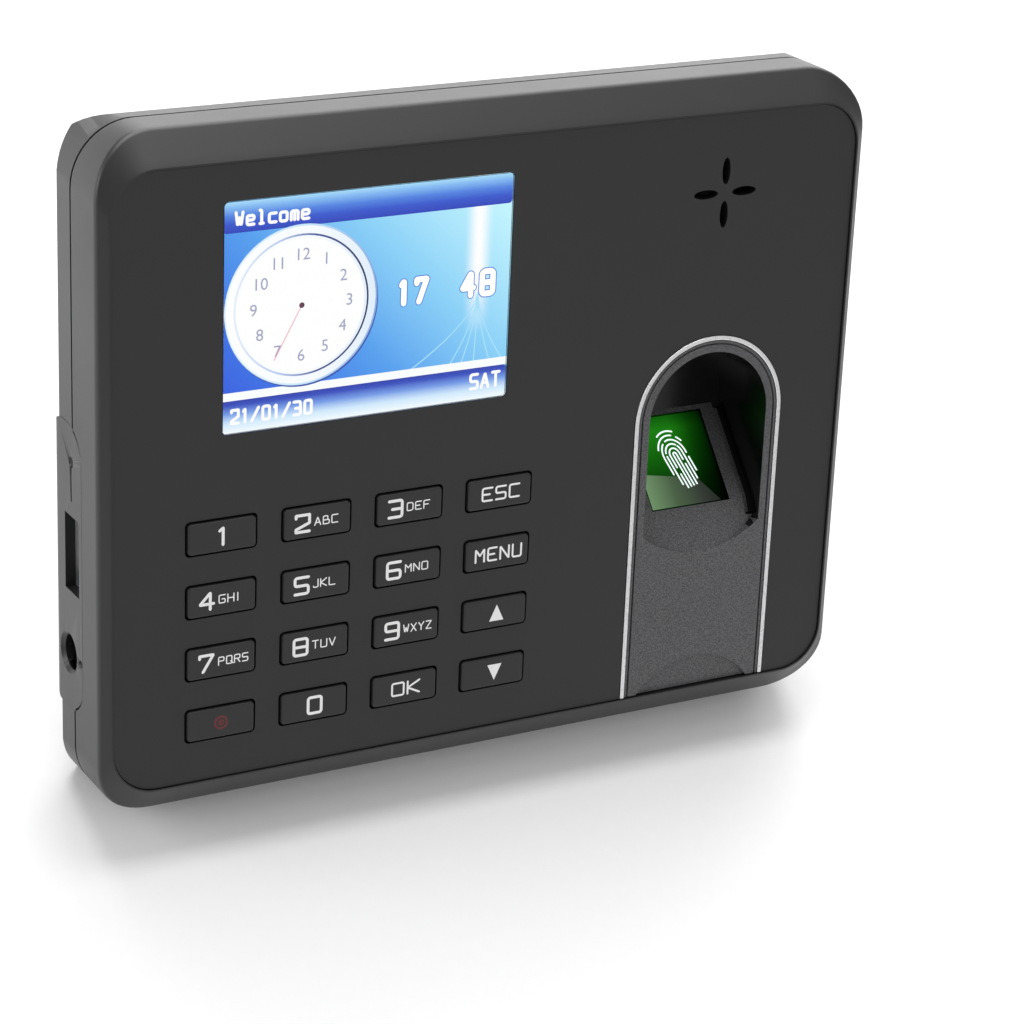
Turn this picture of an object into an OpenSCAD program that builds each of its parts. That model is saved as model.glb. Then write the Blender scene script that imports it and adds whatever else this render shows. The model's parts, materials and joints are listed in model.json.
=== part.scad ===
// Fingerprint scanner terminal: a colour display, sixteen keys and a lit finger well in a
// rounded case that leans back on a clip-on stand. All lengths are in millimetres.

/* [Case] */
// Width of the case across its side walls
case_w = 134.2; // [125:0.1:165]
// Height of the case along its sloping face
case_h = 110.3; // [104:0.1:135]
// Depth of the case from the panel's face to the flat back
case_t = 22; // [22:0.5:28]
// Corner radius of the case seen from the front
corner_r = 10; // [8:0.5:14]
// Depth of the front frame from the panel's face to the seam
seam_y = 10.75; // [10:0.25:12]
// Wall thickness of the front frame
frame_wall = 2.2; // [1.8:0.1:2.6]
// Wall thickness of the rear shell
shell_wall = 2; // [1.6:0.1:2]
// Angle the terminal leans back at on its stand, in degrees
lean = 32; // [28:1:40]

/* [Front bevel] */
// Width of the bevel down each side of the panel
side_bevel_w = 2.1; // [1.5:0.1:4]
// Depth of the bevel down each side of the panel
side_bevel_d = 1.1; // [0.8:0.1:2]
// Width of the bevel above and below the panel
end_bevel_w = 5.37; // [4:0.01:7]
// Depth of the bevel above and below the panel
end_bevel_d = 4.37; // [3:0.01:5]
// Corner radius of the flat front panel
panel_r = 7.25; // [5:0.25:9]
// Height of the thin lip that stands proud around the panel
lip_h = 0.35; // [0.2:0.05:0.6]

/* [Display] */
// Width of the lit picture
lcd_w = 48.96; // [40:0.01:60]
// Height of the lit picture
lcd_h = 36.72; // [30:0.01:38]
// Gap from the panel's left edge to the picture
lcd_left = 17.82; // [17:0.01:24]
// Gap from the panel's top edge to the picture
lcd_top = 5.82; // [5:0.01:10]

/* [Keys] */
// Width of a key's aperture in the panel
key_w = 12.05; // [9:0.05:13]
// Height of a key's aperture in the panel
key_h = 5.8; // [5:0.05:7]
// Distance between key columns
key_pitch_x = 16.08; // [15:0.01:18]
// Distance between key rows
key_pitch_z = 10.46; // [9.5:0.01:12]
// Distance a key can be pressed
key_travel = 0.8; // [0.4:0.1:0.8]

/* [Finger well] */
// Distance of the well's middle from the panel's right edge
well_right = 25; // [22:0.5:30]
// Height of the well's arch centre above the panel's middle
arch_z = -1.4; // [-3:0.1:3]
// Outer radius of the bright trim around the well
trim_r = 14.05; // [13:0.05:16]
// Width of the bright trim's face
trim_w = 0.75; // [0.5:0.05:1.5]
// Depth of the well's back wall
well_d = 15.1; // [14:0.1:15.1]
// Slope of the sensor window away from the panel, in degrees
window_slope = 41.5; // [38:0.5:45]

/* [Ports] */
// Width of the plug slot in the case's side
usb_slot_w = 5.7; // [5.2:0.1:6.2]
// Length of the plug slot in the case's side
usb_slot_l = 12.6; // [12.4:0.1:13]
// Diameter of the power inlet's hole
dc_hole_d = 5.8; // [5.5:0.1:6.2]

/* [Stand] */
// Width of the stand
stand_w = 66; // [56:1:80]
// Length of the stand's foot behind the corner of back and floor
foot_d = 55; // [45:1:66]
// Thickness of the stand's sheet
sheet_t = 2; // [1.5:0.1:2.5]
// Outside radius of the stand's bend
bend_r = 6.5; // [5:0.5:8]
// Height of the stand's rubber pads
pad_h = 1; // [0.8:0.1:2]

/* [Hidden] */
$fn = 96;

// clearances
panel_gap = 0.1;
key_gap = 0.3;
flange_gap = 0.25;
behind_panel = 0.05;
trim_gap = 0.1;
block_gap = 0.1;
stand_gap = 0.05;

// front of the case
panel_w = case_w - 2 * side_bevel_w;
panel_h = case_h - 2 * end_bevel_w;
panel_t = 2;
land = 0.35;
floor_y = 3.8;

// display and keys
lcd_x = lcd_left + lcd_w / 2 - panel_w / 2;
lcd_z = panel_h / 2 - lcd_top - lcd_h / 2;
cell_w = lcd_w + 5.5;
cell_h = lcd_h + 4.3;
module_left = 2.7;
module_right = 6.6;
ribbon_z = lcd_z - cell_h / 2 - 3.4;
key_x0 = lcd_left - panel_w / 2;
key_z0 = lcd_z - lcd_h / 2 - 16.05;
cap_w = key_w - 2 * key_gap;
cap_h = key_h - 2 * key_gap;
flange_w = key_w + 0.95;
flange_h = key_h + 0.9;
cap_proud = 0.45;
plunger_r = 1.6;
plunger_y = 4.9;
mat_y = 5.1;
pcb_y = 6.1;
pcb_t = 1.2;
dome_t = 0.35;

// finger well
well_x = panel_w / 2 - well_right;
guide_r = trim_r - trim_w - trim_gap;
ring_r = guide_r - 1;
well_r = guide_r - 1.95;
shaft_r = well_r + 1.5;
lip_z = arch_z - 23.7;
lip_r = 17.8;
win_y = 3.44;
win_z = lip_z + 6.85;
win_w = 15.15;
win_l = 16.75;
slope_run = 1 / tan(window_slope);
back_z = win_z + (well_d - win_y) * slope_run;

// speaker
speaker_x = well_x + 0.4;
speaker_z = panel_h / 2 - 13;
slot_long = 4.5;
slot_short = 1.5;

// rear shell
ridge_y = case_t - 7.5;
side_ridge = case_t - 5.5;
side_draft = 0.1;
end_draft = 0.25;
side_run = 15.8;
end_run = 9.5;
rise = case_t - ridge_y;
side_rise = case_t - side_ridge;
side_r = (side_run * side_run + side_rise * side_rise) / (2 * side_rise);
end_r = (end_run * end_run + rise * rise) / (2 * rise);
side_cx = case_w / 2 - side_draft - side_run;
end_cz = case_h / 2 - end_draft - end_run;
diag_r = (case_w + case_h) / 2;
diag_run = 15;
diag_arc = (diag_run * diag_run + rise * rise) / (2 * rise);
diag_cz = (case_w / 2 - side_draft + case_h / 2 - end_draft - 2 * corner_r) / sqrt(2)
        + corner_r - diag_run;
screw_x = case_w / 2 - 13.7;
screw_z_top = case_h / 2 - 12.05;
screw_z_low = -case_h / 2 + 9.25;
seat_y = case_t - 7.8;
post_y = seat_y - 2;

// main board and ports
board_y = case_t - 7.7;
board_t = 1.6;
board_x0 = -case_w / 2 + 7.1;
board_x1 = well_x - 14.5;
board_z0 = -41;
board_z1 = ribbon_z + 5.3;
board_posts = [
    [board_x0 + 20, board_z0 + 4], [board_x0 + 20, board_z1 - 3.5],
    [board_x1 - 3, board_z1 - 3.5], [board_x1 - 2.5, board_z0 + 4]
];
usb_t = 5.72;
usb_l = 13.1;
usb_sheet = 0.3;
usb_flare = 0.35;
usb_flare_d = 1;
usb_y = board_y - usb_t / 2;
usb_z = -13.2;
jack_t = 9;
jack_y = board_y - 1.1;
jack_z = -30.3;
port_depth = 14;
block_y0 = board_y - 6.9;
block_y1 = case_t - 1.6;
block_z0 = -39.7;
block_z1 = 8;
block_wall = 1.7;
mouth_x = -case_w / 2 + block_wall;

// hang pockets
pocket_x = 26.8;
pocket_w = 15;
pocket_z0 = case_h / 2 - 44.25;
pocket_z1 = pocket_z0 + 10.3;
pocket_y = case_t - 4.2;

// stand
h0 = -((case_t - end_r) * sin(lean) + end_cz * cos(lean) + end_r);
h1 = h0 + pad_h;
knee_y = case_t + stand_gap;
knee_z = (h1 + knee_y * sin(lean)) / cos(lean);
bend_l = bend_r / tan((90 - lean) / 2);
bend_z = knee_z + bend_l;
stand_top = bend_z + 1.6;
pad_x = stand_w / 2 - 8;
pad_u = [bend_l + 4.6, foot_d - 6.5];
hole_u = foot_d - 16.8;
slot_z1 = bend_z - 1.52;
slot_z0 = slot_z1 - 8.4;
slot_w = 40.8;
tab_w = 39.6;
neck_z1 = slot_z1 - 0.2;
neck_z0 = neck_z1 - 2;

// stickers
code_l = 33.4;
code_z = stand_top + 1.88 + code_l / 2;
round_r = 4.6;

// the whole part stands on z = 0 with the middle of its footprint at the origin
front_edge = -lip_h * cos(lean) - (panel_h / 2 + land) * sin(lean);
foot_edge = knee_y * cos(lean) + knee_z * sin(lean) + foot_d;
back_edge = (case_t - end_r) * cos(lean) + end_cz * sin(lean) + end_r;
shift_y = -(front_edge + max(foot_edge, back_edge)) / 2;
shift_z = -h0;

// ---- helpers -------------------------------------------------------------------------------

// Case axes are x right, y into the case and z up its face, from the panel's middle.
module at_rest() {
    translate([0, shift_y, shift_z]) rotate([-lean, 0, 0]) children();
}

// A shape drawn as seen from the front, thickened from depth d0 to depth d1
module slab(d0, d1) {
    translate([0, d1, 0]) rotate([90, 0, 0]) linear_extrude(height = d1 - d0) children();
}

// A shape drawn in depth and height, run across the case from x0 to x1
module across(x0, x1) {
    translate([x0, 0, 0]) rotate([90, 0, 90]) linear_extrude(height = x1 - x0) children();
}

// A shape drawn in x and depth, run up the case
module upright() {
    translate([0, 0, -case_h]) linear_extrude(height = 2 * case_h) children();
}

// A box from one corner to the other
module box(lo, hi) {
    translate(lo) cube(hi - lo);
}

// A round bar along the depth axis
module rod(x, z, r, d0, d1) {
    translate([x, d0, z]) rotate([-90, 0, 0]) cylinder(r = r, h = d1 - d0);
}

// A round bar along x
module side_rod(y, z, r, x0, x1) {
    translate([x0, y, z]) rotate([0, 90, 0]) cylinder(r = r, h = x1 - x0);
}

module rrect(w, h, r) {
    square([w - 2 * r, h], center = true);
    square([w, h - 2 * r], center = true);
    for (sx = [-1, 1], sz = [-1, 1])
        translate([sx * (w / 2 - r), sz * (h / 2 - r)]) circle(r);
}

// A round-topped slot around the finger well, open down to low
module arch(r, low) {
    translate([well_x, arch_z]) circle(r);
    translate([well_x - r, low]) square([2 * r, arch_z - low]);
}

module at_key(col, row) {
    translate([key_x0 + col * key_pitch_x, 0, key_z0 - row * key_pitch_z]) children();
}

module each_key() {
    for (col = [0:3], row = [0:3]) at_key(col, row) children();
}

// The four rib crossings that carry the keypad board
module each_rib_post() {
    for (col = [0.5, 2.5], row = [0.5, 2.5]) at_key(col, row) children();
}

module each_screw() {
    for (sx = [-1, 1], z = [screw_z_top, screw_z_low]) translate([sx * screw_x, 0, z]) children();
}

// Local axes of the sensor window: x across, y up the slope, z out of the window
module on_window() {
    translate([well_x, win_y, win_z]) rotate([90 - window_slope, 0, 0]) children();
}

// Local axes of the stand's foot: x across, y back along the floor, z up
module on_foot() {
    translate([0, knee_y, knee_z]) rotate([lean, 0, 0]) children();
}

// ---- front ---------------------------------------------------------------------------------

module side_bevels() {
    s = (side_bevel_d + lip_h) / (side_bevel_w - land);
    e = panel_w / 2 + land;
    o = case_w / 2 + 4;
    upright() polygon([
        [-e, -lip_h], [e, -lip_h], [o, side_bevel_d + 4 * s], [o, seam_y + 8],
        [-o, seam_y + 8], [-o, side_bevel_d + 4 * s]
    ]);
}

module end_bevels() {
    s = (end_bevel_d + lip_h) / (end_bevel_w - land);
    e = panel_h / 2 + land;
    o = case_h / 2 + 4;
    across(-case_w, case_w) polygon([
        [-lip_h, -e], [-lip_h, e], [end_bevel_d + 4 * s, o], [seam_y + 8, o],
        [seam_y + 8, -o], [end_bevel_d + 4 * s, -o]
    ]);
}

module port_block(grow, x0, x1) {
    w = block_z1 - block_z0 + 2 * grow;
    t = block_y1 - block_y0 + 2 * grow;
    translate([0, (block_y0 + block_y1) / 2, (block_z0 + block_z1) / 2])
        across(x0, x1) rrect(t, w, 5.4 + grow);
}

module front_frame() {
    color("#3c3d40") at_rest() difference() {
        union() {
            difference() {
                intersection() {
                    slab(-lip_h, seam_y) rrect(case_w, case_h, corner_r);
                    side_bevels();
                    end_bevels();
                }
                slab(-lip_h - 1, panel_t)
                    rrect(panel_w + 2 * panel_gap, panel_h + 2 * panel_gap, panel_r + panel_gap);
                slab(floor_y, seam_y + 1)
                    rrect(case_w - 2 * frame_wall, case_h - 2 * frame_wall, corner_r - frame_wall);
            }
            each_screw() rod(0, 0, 3.2, floor_y - 0.5, post_y);
            each_rib_post() rod(0, 0, 1.6, floor_y - 0.5, pcb_y);
        }
        each_screw() rod(0, 0, 1.55, 5, post_y + 1);
        each_rib_post() rod(0, 0, 0.8, 3, pcb_y + 1);
        box([lcd_x - lcd_w / 2 - module_left - 0.3, 1, lcd_z - cell_h / 2 - 1],
            [lcd_x + lcd_w / 2 + module_right + 0.3, 6, lcd_z + cell_h / 2 + 1]);
        each_key() box([-flange_w / 2 - flange_gap, 1, -flange_h / 2 - flange_gap],
                       [flange_w / 2 + flange_gap, 5, flange_h / 2 + flange_gap]);
        slab(1, 5) arch(shaft_r + 0.15, lip_z - 2);
        rod(speaker_x, speaker_z, 8.2, 1, 5);
        port_block(block_gap, -case_w / 2 - 5, -case_w / 2 + 8);
    }
}

module speaker_slots() {
    for (a = [0:90:270]) translate([speaker_x, speaker_z]) rotate(a) translate([3.6, 0])
        polygon([for (t = [0:15:345]) [slot_long / 2 * cos(t), slot_short / 2 * sin(t)]]);
}

module front_panel() {
    color("#323336") at_rest() slab(0, panel_t) difference() {
        rrect(panel_w, panel_h, panel_r);
        translate([lcd_x, lcd_z]) rrect(lcd_w, lcd_h, 0.8);
        for (col = [0:3], row = [0:3])
            translate([key_x0 + col * key_pitch_x, key_z0 - row * key_pitch_z])
                rrect(key_w, key_h, 0.8);
        speaker_slots();
        arch(trim_r + trim_gap, -panel_h);
    }
}

// ---- display -------------------------------------------------------------------------------

module lcd_window() {
    color("#a8c8e8", 0.5) at_rest() slab(0.1, panel_t)
        translate([lcd_x, lcd_z]) rrect(lcd_w - 0.3, lcd_h - 0.3, 0.65);
}

module lcd_screen() {
    color("#1f6fd0") at_rest() box([lcd_x - cell_w / 2, panel_t, lcd_z - cell_h / 2],
                                   [lcd_x + cell_w / 2, 3.4, lcd_z + cell_h / 2]);
}

module lcd_module() {
    color("#c8cacc") at_rest() box([lcd_x - lcd_w / 2 - module_left, 3.4, lcd_z - cell_h / 2 - 0.6],
                                   [lcd_x + lcd_w / 2 + module_right, 5.2, lcd_z + cell_h / 2 + 0.6]);
}

module lcd_ribbon() {
    color("#b5722a") at_rest() {
        box([lcd_x - 6, 5.2, ribbon_z], [lcd_x + 6, 5.5, lcd_z - 10]);
        box([lcd_x - 6, 5.5, ribbon_z], [lcd_x + 6, board_y, ribbon_z + 0.3]);
    }
}

// ---- finger well ---------------------------------------------------------------------------

module finger_trim() {
    color("#d8dadc") at_rest() slab(-0.15, panel_t) difference() {
        arch(trim_r, -panel_h / 2);
        arch(trim_r - trim_w, -panel_h);
    }
}

// The space a finger reaches into, seen from the front
module well_opening() {
    translate([well_x, arch_z]) circle(well_r);
    intersection() {
        translate([well_x - well_r, lip_z - 5]) square([2 * well_r, arch_z - lip_z + 5]);
        translate([well_x, lip_z + lip_r]) circle(lip_r);
    }
}

// Everything in front of the well's sloping floor, moved back by d
module above_floor(d, x0, x1) {
    m = (win_z - lip_z) / win_y;
    across(x0, x1) polygon([
        [d - 1, lip_z - m], [d + win_y, win_z], [d + well_d, back_z],
        [d + well_d, arch_z + 20], [d - 1, arch_z + 20]
    ]);
}

module finger_guide() {
    w = well_r;
    color("#56575a") at_rest() difference() {
        union() {
            slab(0, panel_t) arch(guide_r, -panel_h / 2 + trim_gap);
            slab(0, well_d + 1.5) arch(shaft_r, lip_z - 1.9);
        }
        slab(-1, 0.4) difference() {
            arch(guide_r - 0.4, -panel_h);
            arch(guide_r - 0.7, -panel_h - 1);
        }
        intersection() {
            slab(-1, well_d) well_opening();
            above_floor(0, well_x - w - 1, well_x + w + 1);
        }
        for (s = [-1, 1]) intersection() {
            slab(-1, well_d) well_opening();
            above_floor(1, well_x + s * (w - 0.55) - 0.6, well_x + s * (w - 0.55) + 0.6);
            slab(1, well_d) translate([well_x, arch_z - 8]) square([60, 23], center = true);
        }
        on_window() box([-win_w / 2, 0, -4], [win_w / 2, win_l, 1]);
        across(well_x - w, well_x + w) polygon([
            [3, lip_z - 0.4], [win_y + 1.12, win_z - 0.99],
            [well_d + 3, win_z - 0.99 + (well_d + 1.88 - win_y) * slope_run],
            [well_d + 3, lip_z - 0.4]
        ]);
        box([well_x - shaft_r - 1, 9.9, win_z - 2.6], [well_x - w + 1, well_d + 2, win_z + 3]);
        slab(-1, 0.5) translate([well_x, -panel_h / 2 - 8]) circle(13.6);
    }
}

module sensor_window() {
    color("#35c03a", 0.8) at_rest() on_window()
        box([-win_w / 2 + 0.2, 0.2, -1.4], [win_w / 2 - 0.2, win_l - 0.2, -0.2]);
}

module sensor_block() {
    color("#1c1d1f") at_rest() on_window() {
        box([-win_w / 2 + 0.2, 0.2, -1.6], [win_w / 2 - 0.2, win_l - 0.2, -1.4]);
        box([-9.5, 0.15, -4.6], [9.5, 17.4, -1.5]);
    }
}

module sensor_board() {
    color("#1d5c3a") at_rest() on_window() {
        box([-9.5, 0.15, -5.6], [9.5, 17.4, -4.6]);
        box([-9, 3, -7.6], [-5, 9, -5.6]);
    }
}

// Case depth and height of a wire end v up the slope and d behind the window
function wire_y(v, d) = win_y + v * sin(window_slope) + d * cos(window_slope);
function wire_z(v, d) = win_z + v * cos(window_slope) - d * sin(window_slope);

module sensor_cable() {
    color("#b03a30") at_rest()
        for (v = [3.9:1.25:7.7])
            side_rod(wire_y(v, 6.6), wire_z(v, 6.6), 0.45, board_x1 - 2, well_x - 9);
}

// ---- keypad --------------------------------------------------------------------------------

module key(col, row) {
    color("#4a4b4e") at_rest() at_key(col, row) {
        slab(-cap_proud, panel_t + 0.2) rrect(cap_w, cap_h, 0.6);
        slab(panel_t + behind_panel, panel_t + 0.85) square([flange_w, flange_h], center = true);
        rod(0, 0, plunger_r, panel_t + 0.6, plunger_y);
    }
}

module keypad_outline() {
    x0 = key_x0 - 8.3;
    x1 = key_x0 + 3 * key_pitch_x + 8.3;
    z0 = key_z0 - 3 * key_pitch_z - 4.6;
    z1 = key_z0 + 4.6;
    difference() {
        translate([x0, z0]) square([x1 - x0, z1 - z0]);
        for (s = [-1, 1]) translate([s * screw_x, screw_z_low]) circle(3.6);
    }
}

module keypad_mat() {
    color("#8a8d90") at_rest() difference() {
        slab(mat_y, pcb_y) keypad_outline();
        each_key() rod(0, 0, plunger_r + 0.7, mat_y - 1, pcb_y + 1);
        each_rib_post() rod(0, 0, 1.8, mat_y - 1, pcb_y + 1);
    }
}

module keypad_domes() {
    color("#c9a24a") at_rest() each_key() rod(0, 0, 2, pcb_y - dome_t, pcb_y);
}

module keypad_board() {
    color("#1d5c3a") at_rest() difference() {
        slab(pcb_y, pcb_y + pcb_t) keypad_outline();
        each_rib_post() rod(0, 0, 0.9, pcb_y - 1, pcb_y + 3);
    }
}

// ---- speaker -------------------------------------------------------------------------------

module speaker_frame() {
    color("#8f9396") at_rest() difference() {
        rod(speaker_x, speaker_z, 10, floor_y, 8);
        rod(speaker_x, speaker_z, 8.6, floor_y - 1, 7);
    }
}

module speaker_cone() {
    color("#202124") at_rest() {
        rod(speaker_x, speaker_z, 8.6, 5, 5.4);
        rod(speaker_x, speaker_z, 3, 4.5, 5.1);
    }
}

// ---- main board ----------------------------------------------------------------------------

module main_board() {
    color("#1d5c3a") at_rest() difference() {
        box([board_x0, board_y, board_z0], [board_x1, board_y + board_t, board_z1]);
        jack_outline(0.3, board_x0 - 1, mouth_x + port_depth);
        for (p = board_posts) rod(p[0], p[1], 1.3, board_y - 1, board_y + 3);
    }
}

module board_parts() {
    color("#2a2b2d") at_rest() {
        box([0, board_y - 1.6, -16], [14, board_y, -2]);
        box([-34, board_y - 1.2, -34], [-24, board_y, -28]);
        box([2, board_y - 1.2, -34], [12, board_y, -26]);
        box([lcd_x - 8, board_y - 2, ribbon_z + 0.3], [lcd_x + 8, board_y, ribbon_z + 3.3]);
        box([board_x1 - 6, board_y - 4, win_z - 2.8], [board_x1 - 2, board_y, win_z + 2.8]);
        rod(-40, -12, 4.5, board_y - 4, board_y);
        rod(-8, -35, 2.5, board_y - 4.5, board_y);
        rod(-15, -35, 2.5, board_y - 4.5, board_y);
    }
}

module backup_cell() {
    color("#c4c7ca") at_rest() rod(-15, -18, 10, board_y - 3.2, board_y);
}

// The USB socket's outside, made larger by grow, from x0 to x1
module usb_outline(grow, x0, x1) {
    box([x0, usb_y - usb_t / 2 - grow, usb_z - usb_l / 2 - grow],
        [x1, usb_y + usb_t / 2 + grow, usb_z + usb_l / 2 + grow]);
}

module usb_shell() {
    color("#c4c7ca") at_rest() difference() {
        union() {
            usb_outline(0, mouth_x, mouth_x + port_depth);
            usb_outline(usb_flare, mouth_x, mouth_x + usb_flare_d);
        }
        usb_outline(-usb_sheet, mouth_x - 1, mouth_x + port_depth - 0.5);
        usb_outline(usb_flare - usb_sheet, mouth_x - 1, mouth_x + usb_flare_d - usb_sheet);
    }
}

module usb_tongue() {
    color("#e8e8e4") at_rest() box([mouth_x + 2, usb_y - 0.2, usb_z - 5.5],
                                   [mouth_x + port_depth - 0.5, usb_y + 1.6, usb_z + 5.5]);
}

// The power jack's outside, made larger by grow, from x0 to x1
module jack_outline(grow, x0, x1) {
    t = jack_t / 2 + grow;
    box([x0, jack_y - t, jack_z - t], [x1, jack_y + t, jack_z + t]);
}

module dc_jack() {
    color("#18191a") at_rest() difference() {
        jack_outline(0, mouth_x, mouth_x + port_depth);
        side_rod(jack_y, jack_z, 3.1, mouth_x - 1, mouth_x + 10.5);
    }
}

module dc_pin() {
    color("#c9a24a") at_rest() side_rod(jack_y, jack_z, 1, mouth_x + 1.5, mouth_x + 10.5);
}

// ---- rear shell ----------------------------------------------------------------------------

// The case's rounded back, drawn in by t from the outside
module back_form(t) {
    intersection() {
        slab(seam_y - t, case_t - t) rrect(case_w - 2 * t, case_h - 2 * t, corner_r - t);
        upright() union() {
            polygon([
                [-case_w / 2 + t, seam_y - t], [case_w / 2 - t, seam_y - t],
                [case_w / 2 - side_draft - t, side_ridge], [side_cx, side_ridge],
                [side_cx, case_t - t], [-side_cx, case_t - t],
                [-side_cx, side_ridge], [-case_w / 2 + side_draft + t, side_ridge]
            ]);
            for (s = [-1, 1]) intersection() {
                translate([s * side_cx, case_t - side_r]) circle(side_r - t);
                translate([s * (side_cx + 10), side_ridge + 10]) square([20, 20], center = true);
            }
        }
        across(-case_w, case_w) union() {
            polygon([
                [seam_y - t, -case_h / 2 + t], [ridge_y, -case_h / 2 + end_draft + t],
                [ridge_y, -end_cz], [case_t - t, -end_cz], [case_t - t, end_cz],
                [ridge_y, end_cz], [ridge_y, case_h / 2 - end_draft - t],
                [seam_y - t, case_h / 2 - t]
            ]);
            for (s = [-1, 1]) intersection() {
                translate([case_t - end_r, s * end_cz]) circle(end_r - t);
                translate([ridge_y + 10, s * (end_cz + 10)]) square([20, 20], center = true);
            }
        }
        for (s = [-1, 1]) rotate([0, s * 45, 0]) across(-case_w, case_w) union() {
            translate([0, -diag_r]) square([ridge_y, 2 * diag_r]);
            translate([0, -diag_cz]) square([case_t - t, 2 * diag_cz]);
            for (e = [-1, 1]) intersection() {
                translate([case_t - diag_arc, e * diag_cz]) circle(diag_arc - t);
                translate([ridge_y + 10, e * (diag_cz + 10)]) square([20, 20], center = true);
            }
        }
    }
}

// The block that carries the two ports, flush with the side wall
module port_body(t) {
    intersection() {
        port_block(-t, -case_w / 2 + t, -side_cx - 6);
        upright() union() {
            translate([-case_w / 2, 0]) square([30, block_y1 - 3.5]);
            translate([-case_w / 2 + 3.5, 0]) square([30, block_y1]);
            translate([-case_w / 2 + 3.5, block_y1 - 3.5]) circle(3.5);
        }
    }
}

module hang_pocket(s) {
    translate([s * pocket_x, 0, 0]) {
        box([-pocket_w / 2, pocket_y, pocket_z0], [pocket_w / 2, case_t + 1, pocket_z1]);
        box([-pocket_w / 2, pocket_y, pocket_z0 - 1.7],
            [pocket_w / 2, case_t - shell_wall, pocket_z1]);
        across(-pocket_w / 2 - 0.6, pocket_w / 2 + 0.6) polygon([
            [case_t + 1, pocket_z0 - 3.94], [case_t + 1, pocket_z0 + 0.2],
            [case_t - 1.4, pocket_z0 + 0.2], [case_t - 1.4, pocket_z0]
        ]);
    }
}

module pocket_wall(s) {
    translate([s * pocket_x, 0, 0])
        box([-pocket_w / 2 - 1.2, pocket_y - 1.1, pocket_z0 - 2.9],
            [pocket_w / 2 + 1.2, case_t - shell_wall + 0.2, pocket_z1 + 1.2]);
}

module rear_shell() {
    color("#6a6c70") at_rest() difference() {
        union() {
            difference() {
                union() {
                    back_form(0);
                    port_body(0);
                }
                back_form(shell_wall);
                port_body(block_wall);
                slab(0, seam_y) rrect(case_w - 10, case_h - 10, corner_r - 5);
                difference() {
                    slab(seam_y - 8, seam_y + 0.3) square([2 * case_w, 2 * case_h], center = true);
                    slab(seam_y - 9, seam_y + 1)
                        rrect(case_w - 0.7, case_h - 0.7, corner_r - 0.35);
                    port_block(0, -case_w / 2 - 5, -case_w / 2 + 8);
                }
            }
            intersection() {
                each_screw() rod(0, 0, 4.3, post_y, case_t);
                back_form(0.3);
            }
            for (p = board_posts)
                rod(p[0], p[1], 2.3, board_y + board_t, case_t - shell_wall + 0.2);
            for (s = [-1, 1]) pocket_wall(s);
            for (z = [-27, -31.2], dz = [-0.8, 0, 0.8])
                box([-2.6, case_t - 0.2, z + dz - 0.18], [0.4, case_t + 0.2, z + dz + 0.18]);
        }
        side_rod(usb_y + 0.1, 2, 0.9, -case_w / 2 - 1, -case_w / 2 + 0.3);
        box([-case_w / 2 - 1, usb_y - 0.1, -4.5], [-case_w / 2 + 0.3, usb_y + 0.3, 2]);
        side_rod(jack_y - 5, jack_z, 0.7, -case_w / 2 - 1, -case_w / 2 + 0.3);
        each_screw() rod(0, 0, 2.9, seat_y, case_t + 2);
        each_screw() rod(0, 0, 1.7, post_y - 1, case_t);
        for (p = board_posts) rod(p[0], p[1], 1.05, board_y, board_y + board_t + 3);
        for (s = [-1, 1]) hang_pocket(s);
        box([-slot_w / 2, case_t - 4, slot_z0], [slot_w / 2, case_t + 2, slot_z1]);
        box([-case_w / 2 - 1, usb_y - usb_slot_w / 2, usb_z - usb_slot_l / 2],
            [mouth_x + 0.5, usb_y + usb_slot_w / 2, usb_z + usb_slot_l / 2]);
        side_rod(jack_y, jack_z, dc_hole_d / 2, -case_w / 2 - 1, mouth_x + 0.5);
        usb_outline(block_gap, mouth_x, mouth_x + port_depth);
        usb_outline(usb_flare + block_gap, mouth_x, mouth_x + usb_flare_d + block_gap);
        jack_outline(block_gap, mouth_x, mouth_x + port_depth);
        translate([-case_w / 2 - 0.01, jack_y, jack_z]) rotate([0, 90, 0])
            cylinder(r1 = dc_hole_d / 2 + 0.6, r2 = dc_hole_d / 2, h = 0.6);
    }
}

module case_screws() {
    color("#3a3a3c") at_rest() each_screw() difference() {
        union() {
            rod(0, 0, 2.6, seat_y, seat_y + 1.9);
            rod(0, 0, 1.5, 5.5, seat_y + 0.5);
        }
        for (a = [0, 90]) translate([0, seat_y + 1.4, 0]) rotate([0, a, 0])
            cube([3, 1.2, 0.7], center = true);
    }
}

module board_screws() {
    color("#b8bbbe") at_rest() {
        for (p = board_posts) {
            rod(p[0], p[1], 2.1, board_y - 1.3, board_y);
            rod(p[0], p[1], 1, board_y - 0.3, board_y + board_t + 2.6);
        }
        each_rib_post() {
            rod(0, 0, 1.6, pcb_y + pcb_t, pcb_y + pcb_t + 1);
            rod(0, 0, 0.75, 4.2, pcb_y + pcb_t + 0.3);
        }
    }
}

// ---- labels --------------------------------------------------------------------------------

module rear_label() {
    color("#707276") at_rest()
        box([-20, case_t, pocket_z1 + 0.6], [20, case_t + 0.15, pocket_z1 + 24]);
}

module round_sticker() {
    color("#f2f2f0") at_rest() rod(37.6, code_z + code_l / 2 + 0.3 + round_r, round_r, case_t, case_t + 0.12);
}

module code_sticker() {
    color("#f2f2f0") at_rest() slab(case_t, case_t + 0.12)
        translate([37, code_z]) rrect(10.8, code_l, 1);
}

// ---- stand ---------------------------------------------------------------------------------

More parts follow.
